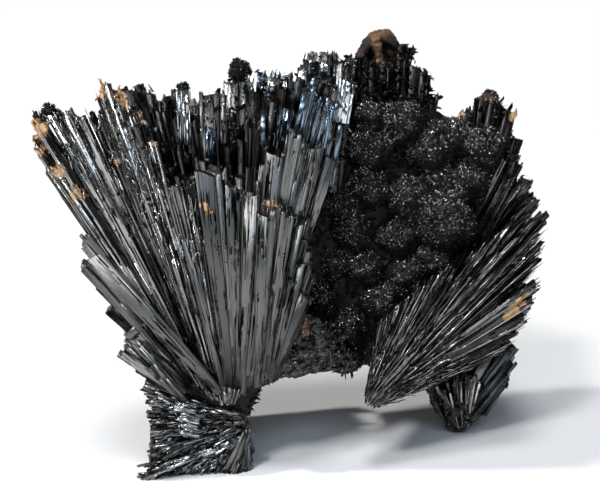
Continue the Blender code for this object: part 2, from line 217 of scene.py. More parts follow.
def stain_mask(finish, where, grain):
    """1 inside the patches and 0 outside them, with a torn edge."""
    streaks = finish.noise(finish.scaled(grain, STREAK_SCALE), detail=4, roughness=0.7)
    torn = finish.noise(where, TORN_SCALE, 4, 0.7)
    total = None
    for place, radius, strength in STAINS:
        centre = tuple(in_frame(place))
        reach = finish.node("VectorMath", {"operation": "DISTANCE"}, {0: where, 1: centre},
                            "Value")
        spot = reach.ramp(0, radius * MM * SPOT_REACH, strength, 0)
        total = spot if total is None else total.higher(spot)
    torn_edge = (streaks - 0.5) * STREAK_EFFECT + (torn - 0.5) * TORN_EFFECT + 1.0
    return (total * torn_edge).ramp(*PATCH_EDGE)

# %% [markdown]
# ## Black goethite
# Goethite is almost metallic: it shows no colour of its own, only reflections, and how strongly it
# reflects differs from crystal to crystal. So its base colour is how much it reflects head on,
# drawn from the crystal's own number. That number spreads much wider than goethite does, from near
# black to near white, so it also paints shade on the dark crystals and flashes on the bright ones.
# Fine striae run along every blade, with narrow clefts between its sheets and short cracks across.
# These are too fine for mesh, and follow the grain, a position measured along each crystal that is
# stored on its mesh.

# %% Goethite finishes
STRIAE_SCALE = 4.5
CLEFT_SCALE = (1.3, 1.3, 0.035)
CRACK_SCALE = (0.22, 0.22, 0.40)
SOUND_SCALE = (0.7, 0.7, 0.22)
CHIP_SCALE = (3, 3, 1.6)
PATCH_SCALE = 260.0
MASSIVE_SCALE = 900.0
STRIAE_EDGE = (0.3, 0.65)
CLEFT_WIDTH, NO_CLEFT = 0.03, (0.50, 0.56)
CRACK_WIDTH, NO_CRACK = 0.010, (0.36, 0.42)
LINE_MIDDLE = 0.35  # the share of a line's width that is quite black
CLEFT_BLACK = 0.003
DUST, DUST_PATCH, DUST_CHIP = 0.45, (0.52, 0.72), (0.35, 0.6)
DUST_COLOR, PIT_COLOR = (0.085, 0.06, 0.04, 1), (0.085, 0.055, 0.035, 1)
RUST, PALE_RUST = (0.13, 0.045, 0.016, 1), (0.38, 0.17, 0.055, 1)
OCHRE, BROWN_STAIN = (0.62, 0.43, 0.24, 1), (0.19, 0.085, 0.04, 1)


def dark_line(noise, width):
    """0 along the line where a noise passes its middle value, 1 away from it."""
    return abs(noise - 0.5).ramp(width * LINE_MIDDLE, width)


def goethite(name, low, high, smooth, rough, depth, lines=1, power=1.4, tint=(1, 1, 1),
             run=0.12, steady=0.45):
    """low and high: the least and most that a crystal reflects head on. depth: of the relief.

    lines: the width of clefts and cracks. run: how fast the striae change along a crystal.
    steady: the share of the reflection that they don't change.
    """
    finish = Finish(name)
    where = finish.place()
    grain = finish.attribute("grain", "Vector")
    chance = finish.attribute("chance", "Fac")
    striae = finish.noise(finish.scaled(grain, (STRIAE_SCALE, STRIAE_SCALE, run)), detail=2)
    cleft = finish.noise(finish.scaled(grain, CLEFT_SCALE), detail=2)
    cleft = dark_line(cleft, CLEFT_WIDTH * lines)
    crack = finish.noise(finish.scaled(grain, CRACK_SCALE))
    crack = dark_line(crack, CRACK_WIDTH * lines)
    chips = finish.noise(finish.scaled(grain, CHIP_SCALE))
    sound = finish.noise(finish.scaled(grain, SOUND_SCALE))
    whole = cleft.higher(sound.ramp(*NO_CLEFT)) * crack.higher(sound.ramp(*NO_CRACK))
    patch = finish.noise(where, PATCH_SCALE, 3, 0.6)
    stain = stain_mask(finish, where, grain)
    dust = patch.ramp(*DUST_PATCH) * chips.ramp(*DUST_CHIP) * DUST
    # painted light in part: chance spreads the reflection wider than goethite's, for painted shade
    # and flashes
    level = chance ** power * (striae.ramp(*STRIAE_EDGE) * (1.0 - steady) + steady)
    face = finish.blend(level, grey(low), tuple(high * part for part in tint) + (1,))
    black = finish.blend(whole, grey(CLEFT_BLACK), face)
    rust = finish.blend(patch.ramp(0.4, 0.6), RUST, PALE_RUST)
    ochre = finish.blend((chips * 0.5 + stain * 0.5).ramp(0.55, 0.85), rust, OCHRE)
    dusty = finish.blend(dust, black, DUST_COLOR)
    finish.set(Base_Color=finish.blend(stain, dusty, ochre),
               Metallic=1.0 - stain.higher(dust),
               Roughness=(smooth + chips * (rough - smooth)).higher(stain * 0.85),
               Normal=finish.bump(striae * 0.5 + whole * 1.5 + chips * 0.4, depth))
    print(finish.material.name, "nodes", len(finish.tree.nodes))
    return finish.material


def massive(name, low, high):
    """Goethite with no blades to be seen, and brown dust in its pits."""
    finish = Finish(name)
    where = finish.place()
    patch = finish.noise(where, PATCH_SCALE, 4, 0.6)
    fine = finish.noise(where, MASSIVE_SCALE, 3, 0.6)
    dust = patch.ramp(0.48, 0.68) * 0.5
    stain = stain_mask(finish, where, finish.scaled(where, IN_MM))
    black = finish.blend(fine.ramp(0.4, 0.7), grey(low), grey(high))
    dusty = finish.blend(dust, black, PIT_COLOR)
    finish.set(Base_Color=finish.blend(stain, dusty, BROWN_STAIN),
               Metallic=1.0 - dust.higher(stain),
               Roughness=fine * 0.4 + 0.15,
               Normal=finish.bump(fine + patch, 0.0004))
    return finish.material


BLADES = goethite("goethite blades", 0.012, 0.72, 0.12, 0.36, 0.00008, 1.3, 1.7,
                  (1, 0.99, 0.95))
PLATES_FINISH = goethite("goethite plates", 0.12, 0.27, 0.28, 0.54, 0.00010, 1.8,
                         tint=(0.98, 1, 0.96))
COLUMN_FINISH = goethite("goethite column", 0.05, 0.19, 0.26, 0.50, 0.00010, 2,
                         tint=(0.98, 1, 0.96))
# painted sheen: a blue-grey tint in the finish of the blades behind the right foot
SLATY_WITH_PAINTED_SHEEN = goethite("slaty goethite with painted sheen", 0.03, 0.24, 0.22, 0.45, 0.00010, 1.5,
                 tint=(0.86, 0.93, 1))
# painted flashes and painted shade: the reflection runs from near black to white, most needles dark
NEEDLES_WITH_PAINTED_FLASH = goethite("goethite needles with painted flashes", 0.004, 1, 0.08, 0.24, 0.00003, power=2.4,
                   tint=(1, 1, 0.96), run=0.7, steady=0.08)
# painted glints: this finish reflects far more than goethite, up to white, and bluish
PAINTED_GLINT_FINISH = goethite("goethite with painted glints", 0.35, 1, 0.10, 0.30, 0.00008,
                         tint=(0.86, 0.94, 1))
# painted reflection: the blue window's colour tinted into the finish
PAINTED_BLUE_FINISH = goethite("goethite with painted blue reflection", 0.06, 0.55, 0.12, 0.30, 0.00008, power=0.7,
                       tint=(0.58, 0.78, 1))
BROKEN = goethite("broken goethite", 0.012, 0.45, 0.12, 0.40, 0.00010)
SHADED = goethite("goethite in the shade", 0.004, 0.07, 0.20, 0.45, 0.00008)
DUSKY = goethite("dark broken goethite", 0.008, 0.45, 0.15, 0.45, 0.00010)
DIM = goethite("dim goethite", 0.006, 0.24, 0.16, 0.40, 0.00010, 1.3)
MASSIVE = massive("massive goethite", 0.004, 0.09)

# %% [markdown]
# ## One crystal of each form
# Thousands of crystals are needed, and they differ in size more than in form. So a few forms are
# modelled one by one, low in faces, and every crystal is a stretched copy of one. A cube is
# stretched, its long edges are bevelled, and its end is cut on a slant, since goethite breaks
# unevenly. Other ends are splintered, stepped or pointed.

# %% Modelling helpers
SELECT_MODES = {"edges": "EDGE", "faces": "FACE"}


def edit(obj):
    bpy.context.view_layer.objects.active = obj
    obj.select_set(True)
    bpy.ops.object.mode_set(mode="EDIT")


def pick(kind, test):
    """Selects the edges or faces that pass a test, in edit mode."""
    bpy.ops.mesh.select_mode(type=SELECT_MODES[kind])
    bpy.ops.mesh.select_all(action="DESELECT")
    shape = bmesh.from_edit_mesh(bpy.context.edit_object.data)
    for item in getattr(shape, kind):
        item.select_set(bool(test(item)))
    shape.select_flush_mode()
    bmesh.update_edit_mesh(bpy.context.edit_object.data)


def upright(edge):
    first, second = (vertex.co for vertex in edge.verts)
    return abs(first.z - second.z) > 0.5 and (first.xy - second.xy).length < 0.01


def at_top(face):
    return face.normal.z > 0.5 and face.calc_center_median().z > 0.5


def taken(obj):
    """The finished form as plain arrays. Its object is removed.

    A bevel numbers its faces differently in each run, so they are put in order.
    """
    deselect()
    mesh = obj.data
    points = np.array([tuple(vertex.co) for vertex in mesh.vertices])
    faces = sorted(tuple(face.vertices) for face in mesh.polygons)
    bpy.data.objects.remove(obj)
    bpy.data.meshes.remove(mesh)
    return points, faces


def prism(sides=4, chamfer=0.1):
    """A prism from z 0 to 1 whose half width is 1, left in edit mode."""
    deselect()
    if sides == 4:
        bpy.ops.mesh.primitive_cube_add(size=2, location=(0, 0, 0))
    else:
        bpy.ops.mesh.primitive_cylinder_add(vertices=sides, radius=1, depth=2)
    obj = bpy.context.active_object
    edit(obj)
    bpy.ops.mesh.select_all(action="SELECT")
    bpy.ops.transform.translate(value=(0, 0, 1))
    bpy.ops.transform.resize(value=(1, 1, 0.5), center_override=(0, 0, 0))
    if chamfer:
        pick("edges", upright)
        bpy.ops.mesh.bevel(offset=chamfer, segments=1)
    return obj


def cut(height, lean=(0, 0), keep=False):
    """Bisects along a plane that leans, and drops what is above it unless it is kept."""
    bpy.ops.mesh.select_mode(type="FACE")
    bpy.ops.mesh.select_all(action="SELECT")
    bpy.ops.mesh.bisect(plane_co=(0, 0, height), plane_no=(*lean, 1), use_fill=not keep,
                        clear_outer=not keep)

# %% Blade, needle and short crystal
END_CHIP = 0.05  # a splintered end is this uneven, as a share of the blade's length


def slanted(lean):
    """A blade broken off on a slant."""
    obj = prism()
    cut(0.985, lean)
    return taken(obj)


def splintered(seed):
    """A blade whose end is in splinters."""
    obj = prism(chamfer=0.2)
    pick("faces", at_top)
    bpy.ops.mesh.subdivide(number_cuts=1)
    chance = np.random.default_rng(seed)
    shape = bmesh.from_edit_mesh(obj.data)
    for vertex in shape.verts:
        if vertex.co.z > 0.9:
            vertex.co.z -= chance.uniform(0, END_CHIP)
    bmesh.update_edit_mesh(obj.data)
    return taken(obj)


def stepped(heights):
    """A blade made of sheets that end at different heights. The higher ones are drawn up."""
    obj = prism(chamfer=0.08)
    levels = sorted(set(heights))
    bpy.ops.mesh.select_all(action="SELECT")
    bpy.ops.transform.resize(value=(1, 1, 1 + levels[0]), center_override=(0, 0, 0))
    for place in np.linspace(-1, 1, len(heights) + 1)[1:-1]:
        bpy.ops.mesh.select_all(action="SELECT")
        bpy.ops.mesh.bisect(plane_co=(place, 0, 0), plane_no=(1, 0, 0))
    for low, high in zip(levels, levels[1:]):
        def rises(face):
            sheet = int((face.calc_center_median().x + 1) / 2 * len(heights))
            return at_top(face) and heights[sheet] >= high
        pick("faces", rises)
        bpy.ops.mesh.extrude_region_move(TRANSFORM_OT_translate={"value": (0, 0, high - low)})
    return taken(obj)


def pointed(sides, top, shoulder, chamfer=0):
    """A crystal that narrows above its shoulder."""
    obj = prism(sides, chamfer)
    cut(shoulder, keep=True)
    pick("faces", at_top)
    bpy.ops.transform.resize(value=(top, top, 1), center_override=(0.15, -0.05, 1))
    return taken(obj)


def short(sides, lean):
    """A short crystal with a slanted end."""
    obj = prism(sides, 0)
    cut(0.55, lean)
    bpy.ops.mesh.select_all(action="SELECT")
    bpy.ops.transform.resize(value=(1, 1, 1.45), center_override=(0, 0, 0))
    return taken(obj)


FORMS = {
    "blade": [slanted((0.006, 0.004)), slanted((-0.012, 0.006)), slanted((0.02, -0.004)),
              splintered(1), splintered(2), stepped((0, 0.025, 0.01)),
              stepped((0.02, -0.015, 0.004)), pointed(4, 0.6, 0.94, 0.25)],
    "needle": [pointed(4, 0.3, 0.9), pointed(5, 0.4, 0.9), pointed(6, 0.25, 0.9)],
    "bit": [short(4, (0.25, 0.2)), short(3, (-0.3, 0.3)), short(5, (0.1, -0.4)),
            short(3, (0, 0.1))],
}
for kind, forms in FORMS.items():
    print(kind, "faces:", [len(faces) for _, faces in forms])

# %% [markdown]
# ## Many copies in one mesh
# Thousands of loose objects would be slow to handle, and a spray grows as one piece in any case. A
# Cluster keeps a row of numbers for each crystal and then writes them all as one mesh. Two
# attributes go with it: grain, the place on the crystal in millimetres, which the striae follow,
# and chance, one number for each crystal.

# %% Cluster
GRAIN_SHIFT = 90.0  # how far apart, in millimetres, the grain of two crystals may lie


class Cluster:
    """Copies of the forms, gathered and then made into one mesh."""

    def __init__(self, name, seed):
        self.name = name
        self.rows = {(kind, i): [] for kind, forms in FORMS.items() for i in range(len(forms))}
        self.chance = np.random.default_rng(seed)

    def add(self, kind, root, tip, side, deep, taper=1):
        """side and deep: half the section at the tip. taper: the root's share of it."""
        index = int(self.chance.integers(len(FORMS[kind])))
        numbers = [taper, self.chance.random()]
        self.rows[kind, index].append(np.concatenate([root, tip, side, deep, numbers]))

    def copies(self, form, rows):
        """The points and grain of every copy of one form."""
        root, tip, side, deep = (rows[:, None, i:i + 3] for i in (0, 3, 6, 9))
        taper = rows[:, None, 12:13]
        x, y, z = (form[None, :, i:i + 1] for i in range(3))
        points = root + (tip - root) * z + (side * x + deep * y) * (taper + (1 - taper) * z)
        sizes = [np.linalg.norm(v, axis=2, keepdims=True) for v in (side, deep, tip - root)]
        shift = self.chance.random((len(rows), 1, 3)) * GRAIN_SHIFT
        grain = np.concatenate([x * sizes[0], y * sizes[1], z * sizes[2]], axis=2) + shift
        return points.reshape(-1, 3), grain.reshape(-1, 3)

    def build(self, material, node="crystal_mass"):
        points, grains, chances, loops, sizes = [], [], [], [], []
        base = 0
        for (kind, index), rows in self.rows.items():
            if not rows:
                continue
            form, faces = FORMS[kind][index]
            rows = np.array(rows)
            where, grain = self.copies(form, rows)
            points.append(where)
            grains.append(grain)
            chances.append(np.repeat(rows[:, 13], len(form)))
            corners = np.concatenate([np.array(face) for face in faces])
            first = base + np.arange(len(rows))[:, None] * len(form)
            loops.append((corners[None, :] + first).ravel())
            sizes.append(np.tile([len(face) for face in faces], len(rows)))
            base += len(where)
        points = in_frame(np.concatenate(points))
        points[:, 2] = np.maximum(points[:, 2], 0)
        obj = written(self.name, points, np.concatenate(loops), np.concatenate(sizes))
        add_attribute(obj, "grain", "FLOAT_VECTOR", "vector", np.concatenate(grains))
        add_attribute(obj, "chance", "FLOAT", "value", np.concatenate(chances))
        return dressed(obj, material, node)


def written(name, points, loops, sizes):
    """A mesh object from arrays of points, corner numbers and face sizes."""
    mesh = bpy.data.meshes.new(name)
    mesh.vertices.add(len(points))
    mesh.vertices.foreach_set("co", points.ravel())
    mesh.loops.add(len(loops))
    mesh.loops.foreach_set("vertex_index", loops)
    mesh.polygons.add(len(sizes))
    mesh.polygons.foreach_set("loop_start", np.concatenate([[0], np.cumsum(sizes)[:-1]]))
    mesh.polygons.foreach_set("loop_total", sizes)
    mesh.update(calc_edges=True)
    obj = bpy.data.objects.new(name, mesh)
    bpy.context.collection.objects.link(obj)
    return obj


def add_attribute(obj, name, kind, key, values):
    layer = obj.data.attributes.new(name, kind, "POINT")
    layer.data.foreach_set(key, values.ravel())


def dressed(obj, material, node="crystal_mass"):
    """Gives a piece its finish and says which body, node and slot it belongs to."""
    obj.data.materials.clear()
    obj.data.materials.append(material)
    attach(obj, "root")
    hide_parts(node)
    print(obj.name, "triangles", sum(len(face.vertices) - 2 for face in obj.data.polygons))
    return obj

# %% [markdown]
# ## Sprays
# In a spray the blades fan out from a small root to a wide edge of tips. Two lines describe the
# root, at the face and at the back of the spray, and two more the tips. A crystal's place is two
# shares: how far along the lines it stands, and how deep behind the face.

# %% Guides
SPRAYS = {
    "left_fan": dict(
        root=([(-17, -8.5, 15), (-13, -9.5, 13.5), (-6.8, -8, 17)],
              [(-17, 7, 15), (-12, 8, 14), (-5, 8, 18)]),
        tips=([(-43.2, -13, 60.5), (-42.2, -12.5, 67.7), (-38.1, -11, 66.4), (-33.1, -10, 71),
               (-29.9, -10, 67.2), (-25.5, -11, 60.9), (-21.1, -12.5, 56), (-16.9, -13, 58.5),
               (-11.5, -13, 57.8), (-6.4, -12.5, 59.5), (-2.5, -11, 64), (0.9, -9, 67),
               (5, -6.5, 70), (7, -4, 70.9)],
              [(-42, 4, 63.4), (-38.4, 5, 65), (-34, 6, 68.8), (-28.6, 7, 71.1), (-24.3, 8, 67.8),
               (-19.9, 9, 68.6), (-15.4, 9, 66.5), (-10.8, 9, 67.3), (-6.3, 10, 68.5),
               (-1.8, 11, 70.4), (2.7, 12, 72.8), (6.4, 13, 75.2), (9.5, 14, 75.7)])),
    "left_edge": dict(
        root=([(-20, -8.5, 18), (-18, -9, 15.5)],
              [(-20, 2, 18), (-18, 2, 15.5)]),
        tips=([(-37, -12, 46.5), (-36.5, -12, 41), (-33.5, -11, 34.5), (-30.4, -10.5, 28.8)],
              [(-39, 1, 49), (-37, 1, 42), (-34, 1, 36), (-30.5, 1, 29.5)])),
    "left_tuft": dict(
        root=([(-20, -8, 15), (-19.5, -8, 13)],
              [(-20, 2, 15), (-19.5, 2, 13)]),
        tips=([(-27, -9, 28), (-31, -9, 26.8), (-31.6, -9, 24), (-29.4, -9, 19.4),
               (-27.5, -8, 15.5)],
              [(-27, 3, 28), (-31, 3, 26.8), (-31.3, 3, 24), (-29, 3, 19.4), (-27, 3, 15.5)])),
    "left_foot": dict(
        root=([(-10, -6.5, 11), (-10, -6.5, 6)],
              [(-11, 4, 11), (-11, 4, 6)]),
        tips=([(-27.2, -9, 16.2), (-27.6, -9, 12), (-26.6, -9.5, 8.5), (-27, -9.8, 4.5),
               (-29.5, -10.5, -1), (-20, -9, 1), (-14, -7.5, -1), (-9.5, -6.5, -1.5)],
              [(-26, 4, 15), (-26, 4, 11), (-25.5, 3.5, 7.5), (-25.5, 3, 3.5), (-25, 1, -1),
               (-18, 4, 1), (-13, 4, 0), (-9, 3, -1)])),
    "front_column": dict(
        root=([(-8, -10, 17), (-5, -10, 18)],
              [(-8, -6, 17), (-5, -6, 18)]),
        tips=([(-6.6, -15.5, 53), (-3.3, -16, 53.5), (0.3, -15.2, 50.3), (0.8, -13.5, 37)],
              [(-6.4, -11, 52.5), (-3, -11, 53), (1, -10, 50), (2, -9, 37)])),
    "right_fan": dict(
        root=([(11.5, -8, 13.5), (13, -8, 12.5)],
              [(16, 4, 17), (20, 5, 15.5)]),
        tips=([(13.9, -6.5, 28), (17.8, -6, 31.5), (21.8, -4, 34), (27.8, -2, 38.3),
               (35.9, 0, 43.4), (41, 1, 46.3), (44.2, 2, 44), (44, 2, 37), (43.6, 2.5, 31.7),
               (42, 2.5, 26), (39.2, 3, 21), (31.3, 1, 17)],
              [(18, 6, 28), (22, 7, 30), (27, 8, 35), (33, 10, 41), (40, 12, 47), (42.5, 12, 47),
               (43.8, 12, 42), (43.4, 12, 37), (43, 13, 31), (41.5, 13, 26), (38.5, 13, 21),
               (31, 12, 17)])),
    "right_edge": dict(
        root=([(26, 6, 36), (26, 6, 32)],
              [(24, 16, 34), (24, 16, 30)]),
        tips=([(33, 8, 47), (37.5, 9, 53.6), (40.6, 9, 52.7), (43, 8, 50), (44.2, 6, 45)],
              [(33, 20, 50), (38, 20, 52), (41, 20, 49), (43, 19, 45), (43.5, 17, 39)])),
    "right_peak": dict(
        root=([(26, 11, 42), (28, 11, 42)],
              [(26, 18, 42), (28, 18, 42)]),
        tips=([(27.9, 12, 59.5), (31.2, 12.5, 61.8), (34.3, 13, 65.4), (36.6, 13, 66.2),
               (38.9, 13, 63), (39.7, 12, 57.6)],
              [(27, 21, 57), (31, 22, 61), (34, 22, 63.5), (37, 21, 62), (39, 20, 58),
               (40, 20, 54)])),
    "top": dict(
        root=([(5, 6, 36), (10, 8, 36)],
              [(5, 18, 36), (12, 18, 36)]),
        tips=([(8.5, 8, 71), (11, 12, 72.5), (14, 12.5, 71.5), (17, 13, 71.5), (20, 13.5, 71.5),
               (22, 14, 69.5), (24, 14, 66.4), (24.7, 14, 60)],
              [(4, 20, 70), (8, 22, 71), (12, 22, 70), (16, 22, 69), (20, 22, 68), (23, 22, 65),
               (25, 21, 60)])),
    "right_foot": dict(
        root=([(27, 10.5, -2), (33.5, 11, -2)],
              [(27.5, 18, -2), (33.5, 18, -2)]),
        tips=([(25, 9, 8.5), (27, 8, 14), (33, 7, 18), (41, 8, 20), (40, 9, 14), (37.5, 10, 8)],
              [(25, 18, 9), (28, 19, 18), (33, 19, 22), (39, 18, 22), (38.5, 18, 15),
               (36, 17, 8.3)])),
    "back_fan": dict(
        root=([(-2, 13, 18), (2, 13, 17)],
              [(-2, 18, 18), (2, 18, 17)]),
        tips=([(-39, 4, 58), (-32, 8, 65), (-22, 11, 66.5), (-9, 13, 67.5), (6, 17, 68),
               (18, 19, 65), (27, 19, 57), (36, 18, 51), (41, 17, 43), (40, 16, 31)],
              [(-35, 13, 53), (-29, 18, 61), (-19, 22, 62), (-8, 24.5, 63), (5, 26, 63),
               (17, 26, 60), (27, 26, 53), (34, 25, 47), (38, 23, 40), (37, 21, 30)])),
    "back_foot": dict(
        root=([(-19, 11, -2), (-15.5, 11, -2)],
              [(-19, 17, -2), (-15.5, 17, -2)]),
        tips=([(-28, 9, 24), (-22, 8, 28), (-14, 8, 26), (-8, 10, 18)],
              [(-26, 17, 24), (-20, 20, 28), (-12, 21, 26), (-8, 20, 20)])),
}


def along(line, share):
    """The point at this share of the way along a list of points."""
    line = np.array(line, float)
    knots = np.linspace(0, 1, len(line))
    return np.array([np.interp(share, knots, line[:, i]) for i in range(3)])


def between(lines, share, deep):
    first, second = along(lines[0], share), along(lines[1], share)
    return first + (second - first) * deep


def unit(vector):
    return vector / np.linalg.norm(vector)


def turned(vector, axis, angle):
    """The vector turned about a unit axis."""
    return (vector * math.cos(angle) + np.cross(axis, vector) * math.sin(angle)
            + axis * np.dot(axis, vector) * (1 - math.cos(angle)))


print("sprays:", ", ".join(SPRAYS))

# %% [markdown]
# ## A bundle of blades
# A broad goethite blade is a bundle of thinner ones side by side, nearly flush, that breaks off in
# steps. So the unit here is the bundle, filled from left to right with coarse and fine blades.
# Each stands a little behind or in front of the last and is turned by a degree or so, so that the
# faces flash one at a time. Some are cracked across, and crumbs cling to the broken ends.

# %% Bundle
CRACK_GAP = 0.001  # half the gap at a crack, as a share of the length
CRACK_SLIP, CRACK_TILT = 0.06, 1.6  # millimetres and degrees that the parts differ by
THINNEST = 0.12  # millimetres


def crumbs(cluster, place, axis, size, count):
    """Small bits at the end of a blade, no higher than the blade itself."""
    chance = cluster.chance
    for _ in range(count):
        way = unit(axis + chance.normal(size=3) * 0.3)
        side = unit(np.cross(way, chance.normal(size=3)))
        half, tall = chance.uniform(0.08, 0.22), chance.uniform(0.5, 1.4)
        spread = chance.normal(size=3) * size / 4
        start = place + spread - way * tall * chance.uniform(0.75, 1.3)
        cluster.add("bit", start, start + way * tall, side * half, np.cross(way, side) * half, 0.9)


def bundle(cluster, root, tip, out, width, depth, fine=0.35, coarse=1.3, share_fine=0.55,
           gap=0.08, roll=0, start=0, reach=1, taper=0.35, drop=0.07, stagger=0.16,
           wobble=3, crack=0.3, litter=0.4):
    """Blades side by side across a width, broken off at nearly the same height.

    out points from the face towards the viewer. stagger is how far, in millimetres, the blades
    stand in front of each other, and wobble how many degrees they turn.
    """
    chance = cluster.chance
    root, tip = np.array(root, float), np.array(tip, float)
    axis = unit(tip - root)
    out = turned(unit(out - axis * np.dot(out, axis)), axis, math.radians(roll))
    side = np.cross(axis, out)
    left = -width / 2
    while left < width / 2 - 0.1:
        thin = chance.random() < share_fine
        size = min(chance.uniform(0.6, 1.5) * (fine if thin else coarse), width / 2 - left)
        across = left + size / 2
        left += size
        end = reach * (1 - drop * chance.random() ** 2 * (1.0 if thin else 0.6))
        begin = start * chance.uniform(0.8, 1)
        half = max(size * 0.98 - gap, THINNEST) / 2
        slip = chance.normal(0, stagger) + (-0.1 if thin else 0.1)
        tilt = math.radians(chance.normal(0, wobble * (2.5 if thin else 1)))
        thick = min(depth, size * 2.2) / 2 * chance.uniform(0.8, 1.2)
        cracked = not thin and chance.random() < crack
        pieces = [(begin, end)]
        if cracked:
            middle = begin + (end - begin) * chance.uniform(0.35, 0.9)
            pieces = [(begin, middle - CRACK_GAP), (middle + CRACK_GAP, end)]
        for first, last in pieces:
            wide_first, wide_last = taper + (1 - taper) * np.array((first, last))
            shift = side * across + out * (slip + cracked * chance.normal(0, CRACK_SLIP))
            low = root + (tip - root) * first + shift * wide_first
            high = root + (tip - root) * last + shift * wide_last
            lean = tilt + math.radians(cracked * chance.normal(0, CRACK_TILT))
            cluster.add("blade", low, high, turned(side, axis, lean) * half * wide_last,
                        turned(out, axis, lean) * -thick * wide_last, wide_first / wide_last)
        if chance.random() < litter:
            crumbs(cluster, high, axis, size, int(chance.integers(1, 4)))

# %% Fan of bundles
SAMPLES = 60  # points at which the edge of a row is measured
JITTER = 0.25  # how far a bundle may stand from the middle of its row, in row depths


def step(low, high, value):
    share = min(max((value - low) / (high - low), 0), 1)
    return share * share * (3 - 2 * share)


def broken_line(chance, parts, low, high):
    """A line of random steps: a function of the share along it."""
    places = np.sort(chance.random(parts))
    heights = chance.uniform(low, high, parts + 1)
    return lambda share: heights[int(np.searchsorted(places, share))]


def fan(cluster, spray, rows, widths, depth, roll=8, start=(0, 0.05), reach=(0.93, 1),
        parts=14, rise=None, span=(0, 1), back=(0, 1), split=0, **blades):
    """Rows of bundles over part of a spray. rise: where, in depth, the tips step up to the back."""
    chance = cluster.chance
    tips, roots = SPRAYS[spray]["tips"], SPRAYS[spray]["root"]
    row_depth = (back[1] - back[0]) / rows
    for row in range(rows):
        middle_depth = back[0] + row_depth * (row + 0.5)
        line = [between(tips, s, middle_depth) for s in np.linspace(*span, SAMPLES)]
        length = np.linalg.norm(np.diff(line, axis=0), axis=1).sum() / (span[1] - span[0])
        level = broken_line(chance, parts, *reach)
        share = span[0]
        while share < span[1]:
            size = chance.uniform(*widths)
            middle = min(share + size / length / 2, 1)
            share += size / length
            deep = middle_depth + row_depth * chance.uniform(-JITTER, JITTER)
            root, tip = between(roots, middle, deep), between(tips, middle, deep)
            if rise:
                low, high = along(tips[0], middle)[2], along(tips[1], middle)[2]
                tip[2] = low + (high - low) * step(*rise, deep)
            out = along(tips[0], middle) - along(tips[1], middle)
            end = level(middle) * chance.uniform(0.97, 1)
            if chance.random() < split:
                end *= chance.uniform(0.5, 0.95)
            bundle(cluster, root, tip, out, size * 1.04, depth * chance.uniform(0.8, 1.3),
                   roll=chance.normal(0, roll), start=chance.uniform(*start), reach=end, **blades)

# %% Loose crystals along a spray
SHORTEST = 0.012  # as a share of the way from root to tip
FACE = np.array((0.0, -1.0, 0.0))


def strewn(cluster, spray, count, kind, width, start, length, span=(0, 1), back=(0, 0.1),
           lift=(0, 0.5), stray=0.04, flat=0.7, reach=1):
    """Single crystals that lie along a spray, each at a place of its own."""
    chance = cluster.chance
    form = SPRAYS[spray]
    for _ in range(count):
        share, deep = chance.uniform(*span), chance.uniform(*back)
        root, tip = between(form["root"], share, deep), between(form["tips"], share, deep)
        out = unit(along(form["tips"][0], share) - along(form["tips"][1], share))
        first = chance.uniform(*start)
        last = min(first + chance.uniform(*length), reach)
        if last - first < SHORTEST:
            continue
        low = root + (tip - root) * first + out * chance.uniform(*lift)
        high = root + (tip - root) * last + out * chance.uniform(*lift)
        axis = unit(high - low)
        high = high + chance.normal(size=3) * stray * np.linalg.norm(high - low)
        side = turned(unit(np.cross(axis, out)), axis, chance.uniform(0, 2 * math.pi))
        half = chance.uniform(*width) / 2
        cluster.add(kind, low, high, side * half, np.cross(axis, side) * half * flat,
                    chance.uniform(0.5, 1))


def placed(cluster, rows, **blades):
    """Bundles placed one by one: root, tip, width and roll of each, facing the front."""
    for root, tip, width, roll in rows:
        bundle(cluster, root, tip, FACE, width, roll=roll, **blades)

# %% [markdown]
# ## The left spray
# The main spray opens from the top of the left foot. Its right half is broad plates, nearly flush,
# that end in a stepped ledge. Its left half is narrow laths with open gaps. The dark inner rows
# fill the mass and rise behind the ledge to the top edge. They are grown first, and the plates
# that catch the eye are then placed one by one.

# %% Inner rows
inner = Cluster("left_spray_inner", 10)
fan(inner, "left_fan", 7, (1.4, 4), 1.8, roll=10, parts=20, reach=(0.92, 1),
    rise=(0.3, 0.62), back=(0.14, 1), coarse=1.9, fine=0.5, share_fine=0.3, gap=0.08, drop=0.04)
inner.build(SHADED)

